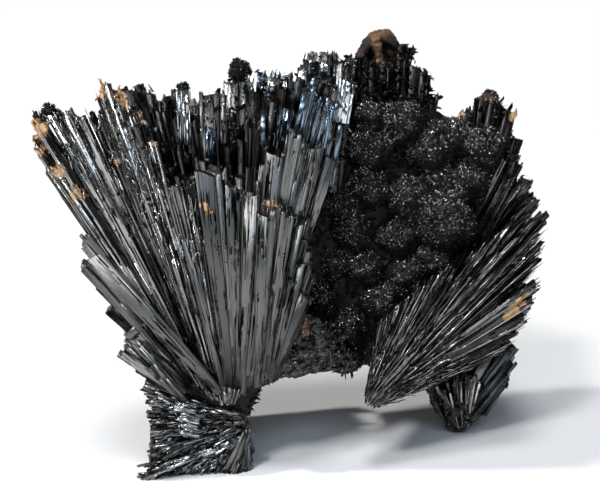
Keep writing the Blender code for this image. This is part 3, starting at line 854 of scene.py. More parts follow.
# %% Laths of the left half
laths = Cluster("left_spray_laths", 11)
fan(laths, "left_fan", 2, (0.9, 2.6), 1.4, roll=10, parts=16, reach=(0.84, 1),
    back=(0, 0.16), span=(0, 0.55), split=0.3, gap=0.2, fine=0.4, coarse=1, stagger=0.35,
    wobble=6)
strewn(laths, "left_fan", 420, "blade", (0.25, 0.8), (0, 0.6), (0.2, 0.6),
       span=(0.02, 0.6), back=(0, 0.03), lift=(0.1, 0.8), stray=0.012, flat=0.5, reach=0.96)
FAR_LEFT = [
    ((-17.8, -8.8, 16.6), (-43.9, -12.6, 61.8), 2.2, 0),
    ((-17.6, -8.8, 16.9), (-44.4, -12.7, 64.2), 2.2, 5),
    ((-17.4, -8.8, 17.2), (-44.2, -12.6, 66.6), 2.2, -4),
    ((-17.3, -8.8, 17.4), (-42.2, -12.2, 68), 2.2, 3),
    ((-17.2, -8.8, 17.6), (-40, -11.8, 68.4), 2.6, -5),
    ((-17, -8.7, 17.8), (-37.4, -11.2, 67.4), 2.6, 4),
    ((-16.6, -8.6, 18), (-33.6, -10.2, 72), 3, -3),
    ((-16.2, -8.6, 18), (-30.8, -9.8, 70.4), 2.6, 5),
    ((-15.8, -8.6, 18), (-28.2, -9.8, 67.4), 2.4, 0),
    ((-18, -8.9, 16.4), (-43.2, -12.6, 59.4), 2, 2),
    ((-18.2, -8.9, 16.2), (-41.8, -12.5, 56.6), 1.8, -3),
    ((-15.4, -8.8, 18), (-25.6, -10.2, 62.6), 2.4, 4),
]
placed(laths, FAR_LEFT, depth=2.2, coarse=1.2, fine=0.45, share_fine=0.35, start=0.1, stagger=0.2,
       wobble=4, drop=0.03, litter=0.9)
laths.build(BLADES)
bits = Cluster("bits_on_the_laths", 55)
strewn(bits, "left_fan", 110, "bit", (0.12, 0.5), (0.62, 0.86), (0.015, 0.03),
       span=(0.22, 0.52), back=(0, 0.01), lift=(0.6, 1.3), stray=0.5)
strewn(bits, "left_fan", 90, "bit", (0.12, 0.5), (0.75, 0.97), (0.015, 0.03),
       span=(0, 0.4), back=(0, 0.01), lift=(0.6, 1.5), stray=0.5)
# painted glints: these bits take the bright glint finish
bits.build(PAINTED_GLINT_FINISH)

# %% Plates of the right half
plates = Cluster("left_spray_plates", 13)
fan(plates, "left_fan", 1, (2.4, 4.6), 1.4, roll=3, parts=8, reach=(0.92, 1),
    back=(0.02, 0.1), span=(0.5, 1), coarse=2.4, share_fine=0.3, gap=0.05, stagger=0.1,
    wobble=1.2, crack=0.5)
PLATES = [
    ((-12.1, -10.2, 16.4), (-15.6, -13.8, 58.2), 4.6, 1),
    ((-11.3, -10, 16.4), (-11.4, -13.7, 56), 2.6, -2),
    ((-10.6, -10, 16.4), (-8.2, -13.6, 54), 3, -5), ((-9, -10.6, 20), (-4.1, -13, 61.2), 3.2, 2),
    ((-8.4, -10.4, 20), (0, -12, 63.6), 3.8, 4), ((-7.6, -9.8, 21), (3, -10.6, 62.4), 3.4, 7),
    ((-7, -9.2, 21), (5.6, -9, 59.4), 2.2, 10),
    ((-14.2, -10.2, 16.6), (-36, -12.2, 42.6), 3.2, -4),
    ((-14.8, -10.1, 18), (-37.2, -12.2, 46.4), 1.6, 8),
    ((-13.4, -10.1, 16.6), (-21.6, -12.8, 55), 2, 3),
]
placed(plates, PLATES, depth=1.3, coarse=2.8, fine=0.5, share_fine=0.2, gap=0.03,
       stagger=0.05, wobble=0.6, drop=0.035, crack=0.5, taper=0.45)
plates.build(PLATES_FINISH)

# %% Left edge, tuft and front column
edge = Cluster("left_edge_blades", 12)
fan(edge, "left_edge", 3, (3.6, 5.6), 2.6, roll=4, reach=(0.96, 0.99), coarse=2.6,
    drop=0.01, share_fine=0.2, stagger=0.1, wobble=1.2, litter=0.1)
fan(edge, "left_tuft", 5, (2, 3.6), 1.8, roll=8, start=(0, 0.2),
    reach=(0.9, 1), taper=0.6, coarse=1.6, drop=0.02, litter=0.1)
edge.build(DUSKY)
column = Cluster("front_column_plates", 30)
fan(column, "front_column", 3, (2.4, 3.6), 1.6, roll=4, reach=(0.96, 1), taper=0.5,
    coarse=1.7, fine=0.4, stagger=0.15, gap=0.05, wobble=2, drop=0.04, litter=0.6)
column.build(COLUMN_FINISH)

# %% [markdown]
# ## The left foot
# The foot is grown from fibres that lie nearly flat and run out from its right side. It is dark
# and compact, with a ribbed block where the spray starts, and a few clusters of small faces that
# flash white, partly from the lamps and partly from a painted glint in their finish. Its lower left
# corner is drawn out into a spur that the specimen stands on.

# %% Foot
foot = Cluster("foot_fibres", 14)
fan(foot, "left_foot", 6, (0.8, 2), 1.2, roll=20, start=(0, 0.3),
    reach=(0.93, 1), parts=30, fine=0.3, coarse=0.7, taper=0.6, split=0.3, wobble=6,
    stagger=0.25, gap=0.04, litter=0.2)
strewn(foot, "left_foot", 900, "blade", (0.25, 0.8), (0, 0.85), (0.08, 0.3),
       back=(0, 0.03), lift=(-0.1, 0.6), stray=0.12, reach=0.98)
foot.build(BROKEN)

glints = Cluster("foot_faces", 22)
GLINTS = [  # root, tip, width, roll: small stepped faces
    ((-18.6, -9.6, 13.2), (-22.4, -10.3, 14.4), 2, 20),
    ((-18.2, -10, 10.6), (-22, -10.6, 11.9), 2.2, 26),
    ((-18, -10.2, 8.6), (-21.4, -10.8, 9.6), 2, 22),
    ((-18.4, -10, 4.4), (-26, -11.2, 1.6), 1.2, 30), ((-15, -9.4, 5.6), (-19.6, -10.2, 4), 1, 30),
    ((-12.2, -8.4, 6.4), (-15.4, -9.2, 4.8), 1.2, 24),
]
placed(glints, GLINTS, depth=0.8, coarse=0.6, fine=0.3, share_fine=0.5, taper=0.8, stagger=0.35,
       wobble=16, drop=0.5, litter=1)
strewn(glints, "left_foot", 60, "bit", (0.3, 0.9), (0.3, 0.9), (0.03, 0.08),
       back=(0, 0.01), lift=(0.2, 0.7), stray=0.3)
# painted glints: these faces take the bright glint finish
glints.build(PAINTED_GLINT_FINISH)

wedge = Cluster("foot_wedge", 23)
WEDGE = [
    ((-9.6, -7.4, 7.7), (-12.6, -7.6, 0.4), 3, -6), ((-9.4, -7, 8.4), (-10.2, -7, 0.4), 1.8, -12),
    ((-12.6, -10.4, 14.6), (-12, -10.4, 17.6), 3.4, 4),
    ((-20.6, -9.6, 14.6), (-26.4, -10.4, 21.8), 2.2, -6),
    ((-20.8, -9.4, 16), (-28.4, -10.2, 25.6), 2, 6),
]
placed(wedge, WEDGE, depth=1.2, coarse=0.8, fine=0.35, taper=0.6, stagger=0.08, wobble=2)
wedge.build(PLATES_FINISH)

# %% [markdown]
# ## The right spray
# Low on the right a second spray opens from a point, and here the crystals are needles. They lie
# closely on each other. Most are dark and a few flash along their length, partly from the lamps and
# partly from painted shade and painted flashes: their finish reflects from near black to white.
# Dark rows make its body, laths the bright ridge along the top, and needles cover both. They keep
# to their line, and only near the point do short ones cross it.

# %% Right spray
under = Cluster("right_spray_inner", 16)
fan(under, "right_fan", 6, (0.7, 1.8), 0.9, roll=20, start=(0, 0.4),
    reach=(0.84, 1), parts=24, fine=0.28, coarse=0.7, taper=0.25, split=0.25, wobble=8,
    stagger=0.25, gap=0.1, litter=0.1)
under.build(SHADED)

ridge = Cluster("right_spray_laths", 18)
RIDGE = [
    ((12.6, -8.6, 13.6), (44.2, 1.4, 45.6), 1.6, 25),
    ((12.4, -8.6, 14), (40.4, 0.2, 44.2), 1.4, 20),
    ((12.2, -8.8, 14.4), (26.4, -4.4, 35), 0.6, 10), ((12.2, -8.8, 14.4), (32, -2.6, 38.6), 1, 22),
    ((13, -8.6, 13.4), (43.6, 1.2, 38.6), 1.2, 10), ((22, -4.6, 17.6), (38.4, 1, 24.6), 2, -4),
    ((14, -8, 13.4), (44, 1.2, 42), 1, 18),
]
placed(ridge, RIDGE, depth=1, coarse=0.6, fine=0.25, taper=0.3, stagger=0.3, wobble=9,
       drop=0.25, litter=0, gap=0.12)
strewn(ridge, "right_fan", 260, "blade", (0.2, 0.6), (0.05, 0.5), (0.2, 0.55),
       back=(0, 0.05), lift=(0.1, 0.7), stray=0.012, flat=0.6, reach=0.98)
ridge.build(NEEDLES_WITH_PAINTED_FLASH)

slab = Cluster("right_spray_slab", 26)
SLAB = [
    ((29, -3.4, 24.6), (42.8, -0.6, 33.8), 2.4, 6), ((29, -3.2, 22.8), (42.2, -0.6, 31.2), 2.2, 2),
    ((27, -3.2, 20.4), (40.8, -0.4, 27.6), 2.6, -4), ((26, -3, 18.4), (39.2, 0.2, 24.6), 2, -8),
]
placed(slab, SLAB, depth=1, coarse=1.1, fine=0.35, share_fine=0.4, taper=0.5, stagger=0.1,
       wobble=3, drop=0.05, litter=0.3)
slab.build(BROKEN)

right = Cluster("right_spray_needles", 19)
strewn(right, "right_fan", 1500, "needle", (0.10, 0.30), (0, 0.75), (0.10, 0.4),
       back=(0, 0.07), lift=(0.1, 0.9), stray=0.03, reach=1)
strewn(right, "right_fan", 160, "needle", (0.12, 0.26), (0.3, 0.7), (0.3, 0.6),
       span=(0, 0.25), back=(0, 0.05), lift=(0.2, 1), stray=0.02, reach=1.04)
strewn(right, "right_fan", 420, "needle", (0.10, 0.26), (0.05, 0.5), (0.05, 0.14),
       back=(0, 0.03), lift=(0.5, 1.3), stray=0.16, reach=0.7)
right.build(NEEDLES_WITH_PAINTED_FLASH)

# %% [markdown]
# ## Right edge, peak and foot
# Above the right spray the mass ends in steep, parallel laths with grey broken ends, and over them
# stands a small peak. The foot below is a knobbly lump, which comes with the core. The slaty
# blades behind it and the short fibres up its front are grown here.

# %% Right flank
flank = Cluster("right_flank_blades", 17)
fan(flank, "right_edge", 6, (1.4, 3), 1.4, roll=8, start=(0, 0.2),
    reach=(0.92, 1), stagger=0.25, wobble=3, gap=0.06)
fan(flank, "right_peak", 6, (1.4, 3.2), 1.4, roll=10, start=(0, 0.2),
    reach=(0.90, 1), coarse=1.6)
PEAK = [
    ((28.2, 11.6, 46), (27.4, 12.6, 61.2), 3.8, -4), ((30, 11.4, 46), (30.6, 12.2, 62.4), 3.6, 2),
    ((31.6, 11.2, 46), (33.4, 12, 65.4), 3, 5), ((33.2, 11, 46), (35.8, 12.2, 65), 3, -3),
    ((34.6, 10.8, 46), (38.4, 12.2, 63.4), 3, 8), ((35.6, 10.4, 46), (39.8, 11.6, 58.4), 3, 14),
    ((35.8, 9.4, 44), (39, 10, 55.4), 2.4, 6),
]
placed(flank, PEAK, depth=2, coarse=1.3, fine=0.5, share_fine=0.4, taper=0.9, stagger=0.3,
       wobble=9, drop=0.1, litter=1, start=0.1, gap=0.02)
flank.build(SHADED)

ends = Cluster("right_flank_ends", 24)
ENDS = [
    ((33, 6.6, 41), (39.8, 8.4, 54.4), 2.4, 20), ((34.4, 6.4, 40), (41.6, 7.8, 51.4), 2.4, 12),
    ((35.4, 6, 38.6), (43.4, 7.2, 47.8), 2.4, 22), ((36, 5.4, 37), (44.6, 6.4, 44), 2.2, 15),
    ((31.6, 6.8, 43.4), (37.2, 8.6, 54.6), 2.4, 8), ((33, 3, 34), (44.6, 3.4, 46.4), 1.6, 10),
]
placed(ends, ENDS, depth=1.2, coarse=0.9, fine=0.35, taper=0.9, stagger=0.25, wobble=5,
       drop=0.12, litter=0.8)
strewn(ends, "right_edge", 90, "blade", (0.2, 0.5), (0.1, 0.6), (0.2, 0.5),
       back=(0, 0.08), lift=(0, 0.6), stray=0.015, reach=0.98)
ends.build(DIM)

slate = Cluster("right_foot_blades", 27)
fan(slate, "right_foot", 5, (1.6, 3.2), 1.6, roll=12, start=(0.35, 0.5),
    reach=(0.8, 1), taper=0.5, coarse=1.5, span=(0.35, 0.8), back=(0, 0.9), stagger=0.2)
SLATE = [
    ((31.6, 8.6, 6), (40.4, 8.2, 19.6), 2.8, 10), ((33, 8.8, 5.6), (40.2, 8.2, 16.8), 3, -6),
    ((34, 9, 5), (38.8, 8.6, 12.6), 3, -12), ((30.6, 8.8, 7), (36, 7.8, 18.4), 2.4, 4),
]
placed(slate, SLATE, depth=1.4, coarse=1.5, fine=0.4, share_fine=0.3, taper=0.6, stagger=0.2,
       wobble=4, drop=0.12, litter=0.5)
slate.build(SLATY_WITH_PAINTED_SHEEN)
flutes = Cluster("right_foot_fibres", 59)
FLUTES = [
    ((30.4, 9.6, 2), (26.4, 7.6, 11), 1.8, -16), ((30.8, 9.2, 2), (28.4, 7, 12.4), 2, -8),
    ((31.2, 9, 2.2), (30.4, 6.8, 13.4), 2, 0), ((31.8, 9, 2.4), (32.4, 7, 13.6), 2, 8),
    ((32.4, 9.4, 2.8), (34.2, 7.8, 12.4), 1.8, 18), ((28.2, 9.4, 3), (25.4, 8.6, 8.6), 1.6, -24),
]
placed(flutes, FLUTES, depth=1, coarse=0.6, fine=0.22, share_fine=0.5, taper=0.55, stagger=0.3,
       wobble=12, drop=0.3, litter=0.6)
flutes.build(BLADES)

# %% [markdown]
# ## Crown and back
# Dark, blocky crystals fill the top edge behind the ledge and in front of the limonite cap. A few
# faces there lean back and mirror the window, so they are pieces of their own, and their finishes
# paint part of that: one with painted glints, brighter than goethite, and one with the window's
# blue painted in. The back is more of the same coarse blades.

# %% Crown
crown = Cluster("crown_crystals", 25)
fan(crown, "top", 6, (1.2, 3), 2, roll=14, start=(0, 0.2), reach=(0.92, 1),
    coarse=1.7, parts=10)
COLUMNS = [
    ((-11.5, 1, 46), (-11.4, 6, 69.8), 4.6, 0), ((-8.2, 0, 46), (-8, 2.6, 68.8), 3.4, 4),
    ((-15.2, 0, 46), (-15.4, 2.5, 68.6), 5, -3), ((-18.6, 1, 46), (-19, 4, 66), 2.6, 3),
    ((-20.6, 2, 46), (-21.4, 7, 67.6), 3.4, 0), ((-24, 1, 46), (-25.4, 4.5, 67), 3, -4),
    ((-5.2, 2, 46), (-4.6, 5.5, 70.6), 3.6, 8), ((-1.2, 1, 46), (-0.6, 4, 71), 4, 6),
    ((1.4, 4, 50), (2.4, 8, 74), 3.6, 4), ((4, 4.6, 50), (5.2, 9, 74.6), 3.4, -4),
    ((6.6, 3, 50), (8, 5.6, 73.2), 3.2, 4),
]
placed(crown, COLUMNS, depth=2.2, coarse=2.2, fine=0.5, share_fine=0.25, taper=0.85, stagger=0.15,
       wobble=3, drop=0.05, litter=1, gap=0.04)
crown.build(DUSKY)

fence = Cluster("crystals_before_the_cap", 29)
FENCE = [
    ((9, 9.6, 58), (9.6, 11.4, 73), 3.4, -6), ((11.8, 10.2, 58), (12.2, 12, 72.2), 3.4, 3),
    ((14.4, 10.4, 58), (14.8, 12.6, 72), 3.4, -3), ((17, 10.6, 58), (17.4, 12.8, 72.4), 3.4, 4),
    ((19.6, 11.4, 56), (20.4, 13.4, 71.8), 3, 5), ((21.2, 11.8, 54), (22.6, 13.8, 70.4), 2.8, 8),
    ((22.4, 11.8, 54), (24.2, 13.8, 66), 2.6, 10), ((17.8, 15, 62), (19.2, 16.8, 74.4), 3, 14),
    ((13, 8, 56), (13.2, 10, 68), 3.4, 4), ((16.4, 8.4, 56), (16.6, 10.6, 67), 3.4, -4),
    ((10.2, 7.4, 56), (10.2, 9.4, 68.4), 3, -4), ((19.4, 9.4, 54), (20, 11.4, 65.4), 3, 6),
]
placed(fence, FENCE, depth=1.8, coarse=1.4, fine=0.6, share_fine=0.4, taper=0.9, stagger=0.3,
       wobble=9, drop=0.12, litter=1, gap=0.02)
fence.build(SHADED)

# %% Faces of the crown with painted glints and painted blue
shine = Cluster("crystals_with_painted_glints", 20)
PAINTED_GLINT_FACES = [
    ((-20.1, -5, 60.5), (-20.4, -1.8, 69.6), 2.6, -6), ((7, -5.8, 64.5), (8.2, -2.8, 71.3), 3, 6),
    ((-5, 3.4, 68), (-4.2, 5, 71.6), 1.8, 4), ((-2.4, 2.4, 67.6), (-2.2, 3.8, 71.4), 1.6, 0),
    ((1.6, 7, 71.6), (2.4, 8.8, 74.4), 1.8, 0), ((8.6, 8.6, 69.4), (9.4, 10.4, 73), 1.8, 4),
    ((-24.6, -2.4, 57.4), (-25.2, -0.6, 62.4), 1, 0), ((-9.4, 5.4, 66), (-8.8, 6.4, 70.6), 1.4, 6),
    ((0, 3.4, 68.4), (0.8, 5.4, 72.6), 1.6, -4), ((4, 6.6, 70.4), (4.8, 8.2, 74), 1.6, 8),
]
placed(shine, PAINTED_GLINT_FACES, depth=1, coarse=1.1, fine=0.4, share_fine=0.4, taper=0.9, stagger=0.1,
       wobble=3, drop=0.15, gap=0.03)
# painted glints: these faces take the bright glint finish
shine.build(PAINTED_GLINT_FINISH)

blue = Cluster("crystals_with_painted_blue", 28)
FACES_WITH_PAINTED_BLUE = [
    ((-6.4, -5.2, 60), (-6.3, -3.2, 66.6), 1.1, 0), ((-3.2, -7, 61.5), (-2.2, -4.8, 67), 2.6, 4),
    ((-1.2, -10.4, 58.5), (1.6, -8.6, 71.2), 2.2, 6), ((1.2, -9.8, 58.5), (4, -7.6, 69.6), 2.4, 8),
    ((3.6, -8.8, 57), (6, -7.2, 68.8), 2, 10), ((5.4, -8.6, 54), (6.9, -7, 64.4), 1, 14),
    ((-15.7, -6.4, 58.4), (-15.4, -4.6, 63.4), 1.8, 0), ((1, -2, 64), (2.6, 0, 71.6), 2, 0),
    ((-7.2, 4.6, 67.6), (-6.8, 6, 71.4), 1.6, -8),
]
placed(blue, FACES_WITH_PAINTED_BLUE, depth=1, coarse=1.3, fine=0.4, share_fine=0.4, taper=0.85, stagger=0.12,
       wobble=4, drop=0.10, gap=0.03, litter=0.6)
# painted reflection: these faces take the blue-tinted finish
blue.build(PAINTED_BLUE_FINISH)

# %% Back
rear = Cluster("back_spray", 21)
fan(rear, "back_fan", 6, (1.6, 4), 2.2, roll=12, start=(0, 0.2),
    reach=(0.84, 1), coarse=1.8, fine=0.6, share_fine=0.4)
fan(rear, "back_foot", 6, (1, 2.4), 1.8, roll=14, start=(0, 0.2),
    reach=(0.84, 1), taper=0.6)
rear.build(BLADES)

# %% [markdown]
# ## The core
# Between the blades a real specimen shows massive goethite, much of it in shade. Its form is made
# of convex blocks, one under each spray, joined and remeshed into one skin, which is then roughened
# with two noises and cut flat where it stands. It stays well under the blades, and small crystals
# cover it so that it never shows bare. It wears the near-black velvet finish, darker than massive
# goethite, which paints that shade. The feet and the underside of the hollow, where massive
# goethite is seen, are a second body made the same way.

# %% Block, ball and modifier helpers
def hull(corners):
    """A convex block around these corners, in millimetres from the guides' zero point."""
    deselect()
    mesh = bpy.data.meshes.new("block")
    mesh.from_pydata([tuple(place) for place in in_frame(corners)], [], [])
    obj = bpy.data.objects.new("block", mesh)
    bpy.context.collection.objects.link(obj)
    edit(obj)
    bpy.ops.mesh.select_all(action="SELECT")
    bpy.ops.mesh.convex_hull()
    deselect()
    return obj


def ball(centre, radii, subdivisions=3):
    deselect()
    bpy.ops.mesh.primitive_ico_sphere_add(subdivisions=subdivisions, radius=1,
                                          location=in_frame(centre))
    obj = bpy.context.active_object
    obj.scale = np.array(radii) * MM * np.ones(3)
    bpy.ops.object.transform_apply(location=True, rotation=False, scale=True)
    return obj


def joined(name, objects):
    deselect()
    for obj in objects:
        obj.select_set(True)
    bpy.context.view_layer.objects.active = objects[0]
    bpy.ops.object.join()
    obj = bpy.context.active_object
    obj.name = name
    return obj


def apply(obj, kind, **settings):
    deselect()
    bpy.context.view_layer.objects.active = obj
    obj.select_set(True)
    modifier = obj.modifiers.new(kind.lower(), kind)
    for key, value in settings.items():
        setattr(modifier, key, value)
    bpy.ops.object.modifier_apply(modifier=modifier.name)


def remeshed(obj, size):
    apply(obj, "REMESH", mode="VOXEL", voxel_size=size * MM)


def roughened(obj, size, strength):
    texture = bpy.data.textures.new("rough", "CLOUDS")
    texture.noise_scale = size * MM
    apply(obj, "DISPLACE", texture=texture, texture_coords="LOCAL", strength=strength * MM,
          mid_level=0.5)


def cut_below(obj, height):
    """Cuts a piece off flat at a height in metres."""
    deselect()
    edit(obj)
    bpy.ops.mesh.select_mode(type="VERT")
    bpy.ops.mesh.select_all(action="SELECT")
    bpy.ops.mesh.bisect(plane_co=(0, 0, height), plane_no=(0, 0, 1), use_fill=True,
                        clear_inner=True)
    deselect()

# %% Core
HEART = [
    [(-4, -2, 20.5), (13, 3, 18.5), (30, 6, 21), (-6, 18, 19), (28, 20, 20), (8, 13, 66),
     (20, 16, 64), (5, 22, 65), (20, 23, 61), (37, 11, 48), (36, 21, 46), (-4, 4, 60),
     (-8, 18, 58)],
    [(-24, -7, 15), (-10, -7.5, 15), (-11, -5, 7), (-23, -6, 7), (-23, 3, 8), (-10, 3, 8),
     (-22, 14, 16), (-9, 14, 18), (-5, -5, 21), (-22, -6, 22)],
]
CORE_REACH = 0.62  # how far the core goes towards the tips of a spray
FULLER = {"right_edge": 0.88, "right_peak": 0.88, "top": 0.90}  # and in the densest ones
CORE_INSET = 0.16  # how far it stays in from the spray's face and back
BLOCK_SHARES = np.linspace(0.04, 0.96, 9)
UNDER_LUMPS = [((8.3, 3, 18.5), 3.4), ((13.9, 5, 19.5), 3.6)]


def block_of(form, reach, inset):
    """A convex block inside a spray."""
    corners = []
    for share in BLOCK_SHARES:
        for deep in (inset, 1 - inset):
            root, tip = between(form["root"], share, deep), between(form["tips"], share, deep)
            corners += [root, root + (tip - root) * reach]
    return hull(corners)


blocks = [hull(corners) for corners in HEART]
blocks += [block_of(form, FULLER.get(name, CORE_REACH), CORE_INSET)
           for name, form in SPRAYS.items() if name != "right_foot"]
blocks += [ball(centre, radius) for centre, radius in UNDER_LUMPS]
print("blocks:", len(blocks))
core = joined("dark_core", blocks)
remeshed(core, 0.9)
roughened(core, 4, 1.2)
roughened(core, 1.2, 0.7)
cut_below(core, CLEARANCE)

# %% Massive goethite of the two feet and under the hollow
FOOT_LUMPS = [
    ((29.2, 11.6, 6.2), 3.7), ((32.4, 12.2, 4.6), 3), ((26.8, 11.8, 9), 2.5),
    ((30.6, 12.6, 2.6), 2.7), ((33.4, 12, 9.4), 3.4), ((30.6, 12.6, 11), 3.6),
    ((26.4, 11.6, 6.6), 1.5), ((32, 9.6, 4), 1.5), ((28.6, 9.2, 5.2), 1.5), ((30.2, 8.6, 7), 1.6),
    ((27.4, 9.4, 8), 1.4),
]
ARCH = [
    (-6, -6.8, 17.2), (-2, -6.6, 19), (1, -6, 21), (4.6, -5, 23.4), (-5, -7.4, 30), (3, -5.8, 30),
    (-6, 4, 17), (4, 4, 21), (8, -1, 17.6), (10.4, 0, 17.8), (11, 2, 21), (9, -1, 25),
]
ARCH_LUMPS = [
    ((-3.6, -6, 21.6), 2.4), ((0.4, -5.8, 23.8), 2.6), ((-1.6, -6.6, 27), 2.4),
    ((3, -4.8, 26.4), 2.4), ((4.4, -3.6, 23.4), 1.8), ((8.6, -0.6, 19), 1.9),
]
masses = [block_of(SPRAYS["left_foot"], 0.96, 0.04), hull(ARCH)]
masses += [ball(centre, radius) for centre, radius in FOOT_LUMPS + ARCH_LUMPS]
mass = joined("massive_goethite", masses)
remeshed(mass, 0.45)
roughened(mass, 2.6, 1)
roughened(mass, 0.9, 0.4)
cut_below(mass, CLEARANCE)
dressed(mass, MASSIVE)

# %% [markdown]
# ## The velvet crust
# The hollow is lined with lumps of goethite crystals so small that they look like black velvet,
# sprinkled with points of light. The lumps stand on a block that fills the back of the hollow.
# Each has smaller ones on it, and one skin is drawn over them all. Two crops of short crystals are
# scattered on the skin: the dark pile, and the few that flash. These are a painted highlight in
# part: they reflect up to white and are set thickest where the skin faces the lamps.

# %% Crust skin
HOLLOW = [
    ((8.5, -3, 70.5), (10.5, 12.5, 67.5)), ((2.5, -8, 50), (6, 11, 50)),
    ((-3, -9, 27), (2, 8, 28)), ((2, -8, 17.5), (6, 7.5, 20)), ((37, -5, 46), (33, 11, 45)),
    ((39, 1, 53), (36, 13, 52)), ((38, 4, 60.5), (35, 13.5, 58.5)),
    ((24, 2, 67), (21.5, 13.5, 64)),
]
LUMPS = [
    ((18.5, 9.5, 61.4), 5), ((12.6, 8, 62.6), 3.4), ((23.4, 9.5, 56), 4.8), ((12.6, 7.5, 57), 5),
    ((12, 5.5, 50.1), 4.6), ((7.9, 6, 47.5), 4), ((9.1, 4, 43), 4.2), ((17.6, 5.5, 40.7), 4),
    ((12.1, 4, 35.6), 4), ((6.4, 4.5, 36), 4.2), ((26.6, 5, 43.6), 6.2), ((25, 5.5, 36.8), 4.4),
    ((19.6, 7.5, 47.4), 4.8), ((25.2, 8.5, 51), 4), ((31.4, 8.5, 50.3), 4.6), ((33.4, 10, 56), 5),
    ((28.3, 11.5, 58.5), 4.2), ((14.8, 5, 29.3), 4.6), ((20, 6, 33.3), 4.2), ((3.7, 2, 29.6), 4.4),
    ((3, 0.5, 22.8), 4), ((8.5, 3, 24.2), 4.8),
]
CRUST_FRONT = 0.88  # how far in from the opening the fill begins
PILE = 0.35  # height of the crystals on the skin
SMALL_LUMPS = 9
chance = np.random.default_rng(31)
fill = [np.array(opening) + (np.array(back) - opening) * share
        for opening, back in HOLLOW for share in (CRUST_FRONT, 1)]
blocks = [hull(fill)]
for centre, radius in LUMPS:
    blocks.append(ball(centre, radius * 0.90 - PILE, 3))
    for _ in range(SMALL_LUMPS):
        way = unit(chance.normal(size=3) + (0, -0.8, 0.1))
        small = radius * chance.uniform(0.26, 0.46)
        blocks.append(ball(centre + way * (radius - small * 0.95), small - PILE * 0.5, 2))
crust = joined("velvet_crust_body", blocks)
remeshed(crust, 0.5)
roughened(crust, 5, 1.6)
roughened(crust, 1.6, 0.6)

# %% Velvet finishes
PILE_SCALE = 2600.0
VELVET_BROWN, VELVET_STAIN = (0.006, 0.0045, 0.003, 1), (0.12, 0.05, 0.03, 1)


def velvet(name, index):
    """The dark pile: nearly black, and browner in patches."""
    finish = Finish(name)
    where = finish.place()
    fine = finish.noise(where, PILE_SCALE, 2)
    patch = finish.noise(where, PATCH_SCALE / 2)
    stain = stain_mask(finish, where, finish.scaled(where, IN_MM))
    black = finish.blend(patch.ramp(0.35, 0.7), grey(0.002), VELVET_BROWN)
    finish.set(Base_Color=finish.blend(stain, black, VELVET_STAIN),
               Roughness=fine * 0.15 + 0.35,
               IOR=index,
               Normal=finish.bump(fine, 0.00006))
    return finish.material


def sparkle(name, low, high):
    """Crystals large enough to flash, with a painted highlight: they reflect up to white."""
    finish = Finish(name)
    chance = finish.attribute("chance", "Fac")
    finish.set(Base_Color=finish.blend(chance ** 1.5, grey(low), grey(high)),
               Metallic=1,
               Roughness=chance * 0.12 + 0.05)
    return finish.material


VELVET = velvet("velvet goethite", index=1.25)
SPARK = sparkle("velvet sparkle", low=0.06, high=1)
dressed(crust, VELVET, "velvet_crust")

# %% Crystals scattered on a skin
def triangles_of(obj):
    """The corners of each triangle, in millimetres from the guides' zero point."""
    mesh = obj.data
    mesh.calc_loop_triangles()
    points = np.empty(len(mesh.vertices) * 3)
    mesh.vertices.foreach_get("co", points)
    corners = np.empty(len(mesh.loop_triangles) * 3, np.int32)
    mesh.loop_triangles.foreach_get("vertices", corners)
    return points.reshape(-1, 3)[corners.reshape(-1, 3)] / MM - STAND_POINT


def anywhere(middle, normal):
    return np.ones(len(middle))


def facing_up_painted_highlight(middle, normal):
    return normal[:, 2] > 0


def scatter(cluster, obj, count, keep, width, length, tilt):
    """Short crystals standing on a skin, evenly by area where keep says so."""
    corners = triangles_of(obj)
    normal = np.cross(corners[:, 1] - corners[:, 0], corners[:, 2] - corners[:, 0])
    area = np.linalg.norm(normal, axis=1) / 2
    normal = normal / np.maximum(area[:, None] * 2, 1e-12)
    weight = area * keep(corners.mean(axis=1), normal)
    chance = cluster.chance
    chosen = chance.choice(len(area), count, p=weight / weight.sum())
    share = np.sort(chance.random((count, 2)), axis=1)
    mix = np.stack([share[:, 0], share[:, 1] - share[:, 0], 1 - share[:, 1]], axis=1)
    where = (corners[chosen] * mix[:, :, None]).sum(axis=1)
    for place, up in zip(where, normal[chosen]):
        axis = unit(up + chance.normal(size=3) * tilt)
        side = unit(np.cross(axis, chance.normal(size=3)))
        half, tall = chance.uniform(*width) / 2, chance.uniform(*length)
        cluster.add("bit", place - axis * tall * 0.3, place + axis * tall * 0.7, side * half,
                    np.cross(axis, side) * half * chance.uniform(0.6, 1), 0.9)

# %% Velvet pile and sparkle
def in_hollow(middle, normal):
    return (normal[:, 1] < 0.35) & (middle[:, 1] < 11.5)


def painted_highlight_side(middle, normal):
    """More of them where the skin faces up and to the left, towards the lamps: a painted highlight.
    """
    lit = normal @ np.array((-0.35, -0.55, 0.76))
    return in_hollow(middle, normal) * np.maximum(lit, 0.04) ** 1.5


pile = Cluster("velvet_grains", 41)
scatter(pile, crust, 12000, in_hollow, (0.16, 0.36), (0.3, 0.6), 0.45)
pile.build(VELVET, "velvet_crust")
sparks = Cluster("velvet_sparks", 42)
scatter(sparks, crust, 14000, painted_highlight_side, (0.07, 0.20), (0.25, 0.50), 0.6)
sparks.build(SPARK, "velvet_crust")

# %% [markdown]
# ## Knobs
# Four round knobs stand on the top edge. They are the same fine crystals grown into balls of
# several lobes, so each is a few small balls under one skin with a pile of grains.

